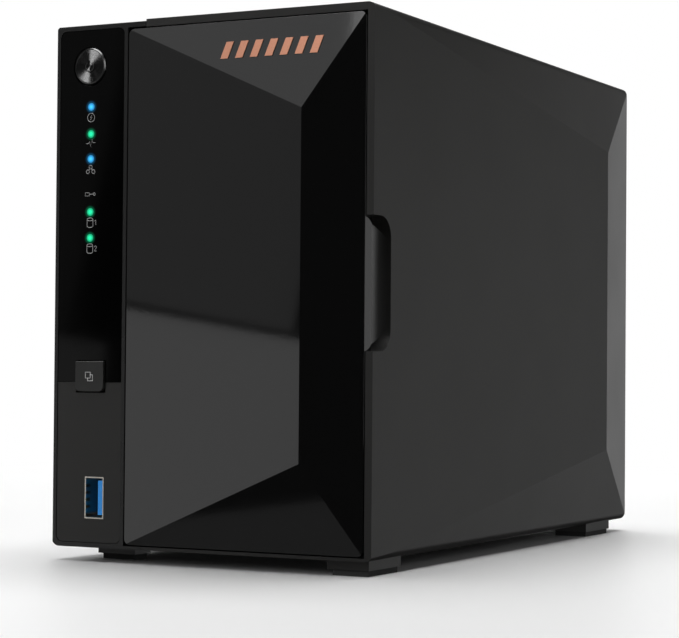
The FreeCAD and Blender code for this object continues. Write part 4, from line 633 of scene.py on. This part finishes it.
def metal(name, dark, light, roughness, scratch, along, relief=0.15):
    """A metal surface with fine marks drawn out along the axes whose share in along is 0, as rolling or
    brushing leaves them."""
    made, tree, place = new_material(name)
    drawn = [1 / scratch if across else 1 / (STREAK * scratch) for across in along]
    marks = add(tree, "ShaderNodeTexNoise", {
        "Vector": add(tree, "ShaderNodeMapping", {"Vector": place, "Scale": drawn}).outputs[0],
        "Scale": 1.0, "Detail": 3.0}).outputs[0]
    shade = add(tree, "ShaderNodeMix", {"Factor": marks, "A": linear(dark), "B": linear(light)},
                data_type="RGBA")
    gloss = add(tree, "ShaderNodeMapRange", {"Value": marks, "To Min": roughness * (1 - MARK_DRIFT),
                                              "To Max": roughness * (1 + MARK_DRIFT)})
    bump = add(tree, "ShaderNodeBump", {"Height": marks, "Strength": relief, "Distance": MARK_DEPTH})
    surface(tree, add(tree, "ShaderNodeBsdfPrincipled", {
        "Base Color": shade.outputs["Result"], "Metallic": 1.0, "Roughness": gloss.outputs[0],
        "Normal": bump.outputs[0]}))
    return made


# Bare metals: pale extruded fins, brighter drawn cans and warm brass posts among the boards.
extruded = metal("extruded_aluminium", "9a9ca0", "b4b6ba", roughness=0.35, scratch=0.3 * MM, along=(1, 0, 1))
dress(extruded, "heat_sink")
drawn_can = metal("drawn_aluminium_can", "b8babc", "d0d2d4", roughness=0.25, scratch=0.3 * MM,
                  along=(0, 1, 1))
dress(drawn_can, "capacitors")
brass = metal("turned_brass", "b08a3c", "c9a352", roughness=0.3, scratch=0.15 * MM, along=(1, 0, 0))
dress(brass, "board_standoffs")

# ---------------------------------------------------------------------------------------------------------
# Sockets: folded, nickel-plated steel shells round blue plastic tongues.  Gold-plated springs run along
# one face of each tongue.
# ---------------------------------------------------------------------------------------------------------

# Nickel, blue plastic and gold: a bright rim, a clear blue tongue and yellow glints on it.
plated = metal("bright_nickel_plate", "c9c6be", "dedbd2", roughness=0.16, scratch=0.4 * MM, along=(1, 0, 1),
               relief=0.05)
dress(plated, "front_usb_shell", "rear_usb_shells")
tongue_blue = moulded("blue_pbt", "2096f0", "30a4ff", roughness=0.35, grain=0.2 * MM, relief=0.1)
dress(tongue_blue, "front_usb_tongue", "rear_usb_tongues")
gold = metal("gold_plated_spring", "c89a35", "e0b450", roughness=0.25, scratch=0.2 * MM, along=(0, 0, 1))


def loose_boxes(node):
    """The lowest and highest corners of each separate solid in a CAD piece, from low to high X, Y and Z."""
    shape = merged(node)
    waiting = set(shape.verts)
    found = []
    while waiting:
        reached, open_ends = set(), [next(iter(waiting))]
        while open_ends:
            here = open_ends.pop()
            if here not in reached:
                reached.add(here)
                open_ends += [edge.other_vert(here) for edge in here.link_edges]
        waiting -= reached
        spread = [[v.co[axis] for v in reached] for axis in range(3)]
        found.append((Vector([min(row) for row in spread]), Vector([max(row) for row in spread])))
    shape.free()
    return sorted(found, key=lambda pair: tuple(round(value, 5) for value in pair[0]))


def new_group(name, **inputs):
    """A Geometry Nodes tree with these named inputs, and the sockets that they arrive on."""
    group = bpy.data.node_groups.new(name, "GeometryNodeTree")
    group.interface.new_socket(name="Geometry", in_out="INPUT", socket_type="NodeSocketGeometry")
    for label, kind in inputs.items():
        group.interface.new_socket(name=label, in_out="INPUT", socket_type=f"NodeSocket{kind}")
    group.interface.new_socket(name="Geometry", in_out="OUTPUT", socket_type="NodeSocketGeometry")
    return group, add(group, "NodeGroupInput").outputs


def close_group(group, instances, finish):
    """Ends a tree: its instances are made real and take the finish."""
    real = add(group, "GeometryNodeRealizeInstances", {0: instances})
    shown = add(group, "GeometryNodeSetMaterial", {"Geometry": real.outputs[0], "Material": finish})
    add(group, "NodeGroupOutput", {0: shown.outputs[0]})


def grow(piece, group, values):
    """Runs a Geometry Nodes tree on a piece with these inputs and keeps the result as its plain mesh."""
    modifier = piece.modifiers.new("grow", "NODES")
    modifier.node_group = group
    keys = {item.name: item.identifier for item in group.interface.items_tree if item.in_out == "INPUT"}
    for label, value in values.items():
        modifier[keys[label]] = value
    piece.update_tag()
    made = bpy.data.meshes.new_from_object(piece.evaluated_get(bpy.context.evaluated_depsgraph_get()))
    piece.modifiers.clear()
    piece.data = made


row_of_blocks, given = new_group("row_of_blocks", Count="Int", Step="Vector", Start="Vector", Block="Vector",
                                 Finish="Material")
row = add(row_of_blocks, "GeometryNodeMeshLine", {"Count": given["Count"], "Offset": given["Step"],
                                                  "Start Location": given["Start"]})
block = add(row_of_blocks, "GeometryNodeMeshCube", {"Size": given["Block"]})
copies = add(row_of_blocks, "GeometryNodeInstanceOnPoints", {"Points": row.outputs[0],
                                                             "Instance": block.outputs[0]})
close_group(row_of_blocks, copies.outputs[0], given["Finish"])


def springs(name, count, first, pitch, block, body):
    """A row of small gold contacts that runs upwards."""
    piece = mesh_object(name, [(0, 0, 0)], [])
    grow(piece, row_of_blocks, {"Count": count, "Step": (0, 0, pitch), "Start": first, "Block": block,
                                "Finish": gold})
    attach(piece, body)


USB_SPRING = (0.12 * MM, 6 * MM, 1.0 * MM)
USB_SPRINGS, USB_PITCH = 4, 2.2 * MM
SPRING_INSET, SPRING_RISE = 4.5 * MM, 2.1 * MM
low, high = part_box("front_usb_tongue")
springs("front_usb_springs", USB_SPRINGS, (low.x, low.y + SPRING_INSET, low.z + SPRING_RISE),
        USB_PITCH, USB_SPRING, "case")
for number, (low, high) in enumerate(loose_boxes("rear_usb_tongues"), start=1):
    springs(f"rear_usb_springs_{number}", USB_SPRINGS, (low.x, high.y - SPRING_INSET, low.z + SPRING_RISE),
            USB_PITCH, USB_SPRING, "case")

# ---------------------------------------------------------------------------------------------------------
# Network socket: a folded, tin-plated steel can with eight gold-plated springs inside.  The pins of the
# power inlet and of the tray latches are nickel-plated.
# ---------------------------------------------------------------------------------------------------------

# Tin plate and nickel: a duller grey can, and bright pins.
tin = metal("tin_plate", "a9a9a4", "bdbdb8", roughness=0.3, scratch=0.4 * MM, along=(1, 0, 1))
dress(tin, "lan_port")
LAN_SPRING = (0.25 * MM, 9 * MM, 0.45 * MM)
LAN_SPRINGS, LAN_PITCH = 8, 1.02 * MM
LAN_ASIDE, LAN_INSET, LAN_RISE = 2.2 * MM, 8 * MM, 4.5 * MM
low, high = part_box("lan_port")
springs("lan_springs", LAN_SPRINGS, (low.x + LAN_ASIDE, high.y - LAN_INSET, low.z + LAN_RISE),
        LAN_PITCH, LAN_SPRING, "case")
pin_nickel = metal("nickel_pin", "bdbab2", "d2cfc7", roughness=0.2, scratch=0.2 * MM, along=(1, 0, 1))
dress(pin_nickel, "dc_jack_pin", "latch_pin_1", "latch_pin_2")

# ---------------------------------------------------------------------------------------------------------
# Door fittings: nickel-plated magnets glued into the back of the door, zinc-plated strike discs on the
# bezel, and a row of rose-gold bars hot-stamped into the top facet.
# ---------------------------------------------------------------------------------------------------------

# Nickel, zinc and rose gold: mirror-bright discs, dull steel, and a warm pink mark on the black.
magnet_nickel = metal("nickel_plated_magnet", "b9b9bb", "cfcfd1", roughness=0.18, scratch=0.6 * MM,
                      along=(1, 0, 1))
dress(magnet_nickel, "door_magnets")
zinc = metal("zinc_plated_steel", "8f9194", "a6a8ab", roughness=0.36, scratch=0.9 * MM, along=(1, 0, 1),
             relief=0.25)
dress(zinc, "strike_plates", "drive_cage")
rose_gold = metal("rose_gold_foil", "c98a70", "dca086", roughness=0.30, scratch=0.3 * MM,
                  along=(1, 0, 1), relief=0.05)
dress(rose_gold, "badge_inlay")

# ---------------------------------------------------------------------------------------------------------
# Feet: soft rubber pads glued under the plinths that are moulded with the shells.  They keep the case from
# sliding and let air in underneath.
# ---------------------------------------------------------------------------------------------------------

# Matt rubber: flat black without highlights.
rubber = moulded("matt_rubber", "0c0c0c", "161616", roughness=0.85, grain=0.5 * MM, relief=0.8)
dress(rubber, "rubber_feet")

# ---------------------------------------------------------------------------------------------------------
# Trays: ABS carriers with a steel-grey lever each.  The lever turns on a pin, and a nylon guide carries
# the tray in the cage.
# ---------------------------------------------------------------------------------------------------------

# Tray ABS, latch ABS and nylon: matt black, a slightly bluish grey, and ivory rails.
tray_plastic = moulded("tray_black_abs", "141414", "1b1b1b", roughness=0.48, grain=0.4 * MM, relief=0.5)
dress(tray_plastic, "tray_1", "tray_2")
latch_plastic = moulded("latch_grey_abs", "2b2c2e", "343537", roughness=0.36, grain=0.35 * MM, relief=0.3)
for number in (1, 2):
    eased(f"tray_latch_{number}", latch_plastic, f"latch_{number}", 0.4 * MM)
ivory_nylon = moulded("natural_nylon", "c9c6ba", "d6d3c8", roughness=0.5, grain=0.5 * MM, relief=0.3)
dress(ivory_nylon, "rail_guides")

# ---------------------------------------------------------------------------------------------------------
# Drives: a coated aluminium casting with a pressed lid over one face and a circuit board on the other.
# Four screws hold each drive to its tray.
# ---------------------------------------------------------------------------------------------------------

# Coated casting and pressed lid: a dark grainy body against a pale brushed plate.
casting = moulded("e_coated_casting", "17181a", "222427", roughness=0.5, grain=0.8 * MM, relief=0.8,
                  Metallic=0.3)
dress(casting, "drive_body_1", "drive_body_2")
lid_metal = metal("pressed_aluminium_lid", "a2a4a7", "bbbdc0", roughness=0.3, scratch=0.5 * MM,
                  along=(1, 0, 1))
dress(lid_metal, "drive_cover_1", "drive_cover_2")

# ---------------------------------------------------------------------------------------------------------
# Screws: cross-recessed pan heads on plain shanks.  They are zinc-plated inside the case and black on the
# rear panel.
# ---------------------------------------------------------------------------------------------------------

# Zinc plate and black oxide: small bright heads inside, and barely visible ones at the back.
screw_zinc = metal("zinc_plated_screw", "9d9ea0", "b5b6b8", roughness=0.3, scratch=0.3 * MM, along=(1, 1, 0))
screw_black = metal("black_oxide_screw", "202122", "2c2d2e", roughness=0.4, scratch=0.3 * MM,
                    along=(1, 1, 0))

HEAD_CROWN = 0.72                 # the radius of the head's crown, as a share of the head's radius
SLOT_REACH = 1.15                 # the length of the cross recess, as a share of the same radius
HEAD_SIDES, SHANK_SIDES = 28, 16
cross_heads, given = new_group("cross_head_screws", Radius="Float", Head="Float", Slot="Float",
                               Shank="Float", Length="Float", Turn="Vector", Finish="Material")
inner = add(cross_heads, "ShaderNodeMath", {0: given["Radius"], 1: HEAD_CROWN}, operation="MULTIPLY")
long_side = add(cross_heads, "ShaderNodeMath", {0: given["Radius"], 1: SLOT_REACH}, operation="MULTIPLY")
carved = add(cross_heads, "GeometryNodeMeshCone", {
    "Vertices": HEAD_SIDES, "Radius Top": inner.outputs[0], "Radius Bottom": given["Radius"],
    "Depth": given["Head"]}).outputs["Mesh"]
lift = add(cross_heads, "ShaderNodeCombineXYZ", {2: given["Head"]})
for sizes in ((long_side.outputs[0], given["Slot"]), (given["Slot"], long_side.outputs[0])):
    size = add(cross_heads, "ShaderNodeCombineXYZ", {0: sizes[0], 1: sizes[1], 2: given["Head"]})
    bar = add(cross_heads, "GeometryNodeMeshCube", {"Size": size.outputs[0]})
    raised = add(cross_heads, "GeometryNodeTransform", {"Geometry": bar.outputs["Mesh"],
                                                        "Translation": lift.outputs[0]})
    carved = add(cross_heads, "GeometryNodeMeshBoolean", {"Mesh 1": carved, "Mesh 2": raised.outputs[0]},
                 operation="DIFFERENCE").outputs["Mesh"]
rod = add(cross_heads, "GeometryNodeMeshCylinder", {"Vertices": SHANK_SIDES, "Radius": given["Shank"],
                                                    "Depth": given["Length"]})
half_length = add(cross_heads, "ShaderNodeMath", {0: given["Length"], 1: -0.5}, operation="MULTIPLY")
drop = add(cross_heads, "ShaderNodeCombineXYZ", {2: half_length.outputs[0]})
hung = add(cross_heads, "GeometryNodeTransform", {"Geometry": rod.outputs["Mesh"],
                                                  "Translation": drop.outputs[0]})
whole = add(cross_heads, "GeometryNodeJoinGeometry", {0: carved})
cross_heads.links.new(hung.outputs[0], whole.inputs[0])
spin = add(cross_heads, "FunctionNodeEulerToRotation", {0: given["Turn"]})
placed = add(cross_heads, "GeometryNodeInstanceOnPoints", {
    "Points": given["Geometry"], "Instance": whole.outputs[0], "Rotation": spin.outputs[0]})
close_group(cross_heads, placed.outputs[0], given["Finish"])

HEAD_TALL = 1.2 * MM
HEAD_RADIUS = 2.8 * MM
SHANK_RADIUS = 1.45 * MM
SLOT_WIDTH = 0.8 * MM
FACE_TURNS = {"+Y": (-pi / 2, 0, 0), "-Y": (pi / 2, 0, 0), "+X": (0, pi / 2, 0), "-X": (0, -pi / 2, 0)}


def screws(node, facing, material, body):
    """Cross-recessed screws in place of a CAD piece's plain ones, with their heads to one side."""
    axis = "XYZ".index(facing[1])
    outward = facing[0] == "+"
    middles = []
    for low, high in loose_boxes(node):
        middle = (low + high) / 2
        middle[axis] = high[axis] - HEAD_TALL / 2 if outward else low[axis] + HEAD_TALL / 2
        middles.append(middle)
        length = high[axis] - low[axis] - HEAD_TALL / 2
    piece = mesh_object(f"{node}_cross_heads", middles, [])
    grow(piece, cross_heads, {
        "Radius": HEAD_RADIUS, "Head": HEAD_TALL, "Slot": SLOT_WIDTH, "Shank": SHANK_RADIUS,
        "Length": length, "Turn": FACE_TURNS[facing], "Finish": material})
    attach(piece, body)
    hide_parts(node)


screws("cage_screws", "-Y", screw_zinc, "case")
screws("board_screws", "+X", screw_zinc, "case")
screws("drive_screws_1", "-X", screw_zinc, "tray_1")
screws("drive_screws_2", "-X", screw_zinc, "tray_2")
screws("panel_screws", "+Y", screw_black, "case")
screws("fan_screws", "+Y", screw_black, "case")

# ---------------------------------------------------------------------------------------------------------
# Rear panel: sheet steel with a fine black powder coat, punched for the ports and for the air.  A screw
# in each corner holds it.
# ---------------------------------------------------------------------------------------------------------

# Powder coat and grey ABS: a coarser orange-peel black, with one small grey dot.
powder = moulded("black_powder_coat", "121212", "191919", roughness=0.52, grain=0.7 * MM, relief=0.9)
dress(powder, "rear_panel")
reset_plastic = moulded("reset_grey_abs", "55565a", "606166", roughness=0.4, grain=0.2 * MM, relief=0.2)
dress(reset_plastic, "reset_button")

# ---------------------------------------------------------------------------------------------------------
# Fan: a glass-filled nylon frame screwed to the rear panel, and a rotor moulded in one piece that turns in
# it, with twisted blades round its hub.
# ---------------------------------------------------------------------------------------------------------

# Filled nylon: a black with a soft silky sheen on the blades.
fan_nylon = moulded("black_filled_nylon", "0f0f10", "17171a", roughness=0.38, grain=0.5 * MM, relief=0.3)
dress(fan_nylon, "fan_frame")
rotor_low, rotor_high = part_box("fan_rotor")
FAN_AXIS_X, FAN_AXIS_Z = 9.8 * MM, 88 * MM
BLADES = 7
HUB_RADIUS, TIP_RADIUS = 13 * MM, 31.6 * MM
BLADE_THICK = 1.1 * MM
BLADE_ROOT = 0.3 * MM             # how far a blade starts inside the hub
BLADE_ROWS, BLADE_STEPS = 10, 10
ROOT_PITCH, TIP_PITCH = radians(52), radians(30)
BLADE_SPREAD, TIP_SPREAD = radians(21), 0.25
BLADE_SWEEP = radians(14)
BLADE_RISE, BLADE_BOW = 0.42, 0.18     # shares of the rotor's depth and of the rise
SHAFT_RADIUS, SHAFT_BACK = 1.5 * MM, 2.0 * MM
rotor_deep = rotor_high.y - rotor_low.y - SHAFT_BACK
blade_points, blade_faces = [], []
for row in range(BLADE_ROWS + 1):
    out = row / BLADE_ROWS
    radius = HUB_RADIUS - BLADE_ROOT + (TIP_RADIUS - HUB_RADIUS + BLADE_ROOT) * out
    pitch = ROOT_PITCH + (TIP_PITCH - ROOT_PITCH) * out
    for step in range(BLADE_STEPS + 1):
        along = step / BLADE_STEPS * 2 - 1
        turn = BLADE_SPREAD * along * (1 + TIP_SPREAD * out) + BLADE_SWEEP * out
        bowed = along + BLADE_BOW * (1 - along * along)
        rise = rotor_deep * BLADE_RISE * bowed * sin(pitch) / sin(ROOT_PITCH)
        blade_points.append((radius * cos(turn), rise, radius * sin(turn)))
for row in range(BLADE_ROWS):
    for step in range(BLADE_STEPS):
        corner = row * (BLADE_STEPS + 1) + step
        blade_faces.append((corner, corner + 1, corner + BLADE_STEPS + 2, corner + BLADE_STEPS + 1))
blades = mesh_object("fan_blades", blade_points, blade_faces)
thicken = blades.modifiers.new("thicken", "SOLIDIFY")
thicken.thickness = BLADE_THICK
thicken.offset = 0

ring_copies, given = new_group("ring_copies", Count="Int", Centre="Vector", Finish="Material")
line = add(ring_copies, "GeometryNodeMeshLine", {"Count": given["Count"], "Offset": (0, 0, 0),
                                                 "Start Location": given["Centre"]})
share = add(ring_copies, "ShaderNodeMath", {0: tau, 1: given["Count"]}, operation="DIVIDE")
turned = add(ring_copies, "ShaderNodeMath", {0: add(ring_copies, "GeometryNodeInputIndex").outputs[0],
                                             1: share.outputs[0]}, operation="MULTIPLY")
euler = add(ring_copies, "ShaderNodeCombineXYZ", {1: turned.outputs[0]})
spin = add(ring_copies, "FunctionNodeEulerToRotation", {0: euler.outputs[0]})
round_hub = add(ring_copies, "GeometryNodeInstanceOnPoints", {
    "Points": line.outputs[0], "Instance": given["Geometry"], "Rotation": spin.outputs[0]})
close_group(ring_copies, round_hub.outputs[0], given["Finish"])
blade_middle = Vector((FAN_AXIS_X, rotor_low.y + rotor_deep / 2, FAN_AXIS_Z))
grow(blades, ring_copies, {"Count": BLADES, "Centre": blade_middle, "Finish": fan_nylon})

HUB_EASE = 1.6 * MM
EASE_BEND = ((1, 0), (0.45, 0.16), (0.1, 0.5), (0, 1))     # in and down round the hub's edge, as shares
hub_outline = [(AXIS, 0)]
hub_outline += [(HUB_RADIUS - inward * HUB_EASE, down * HUB_EASE) for inward, down in EASE_BEND]
hub_outline += [(HUB_RADIUS, rotor_deep), (SHAFT_RADIUS, rotor_deep),
                (SHAFT_RADIUS, rotor_deep + SHAFT_BACK), (AXIS, rotor_deep + SHAFT_BACK)]
hub_place = Vector((FAN_AXIS_X, rotor_low.y, FAN_AXIS_Z))
hub = lathe("fan_hub", hub_outline, hub_place, Vector((0, 1, 0)))
finish_piece(hub, fan_nylon, "fan_rotor", "fan_plastic", "fan_rotor")
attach(blades, "fan_rotor")
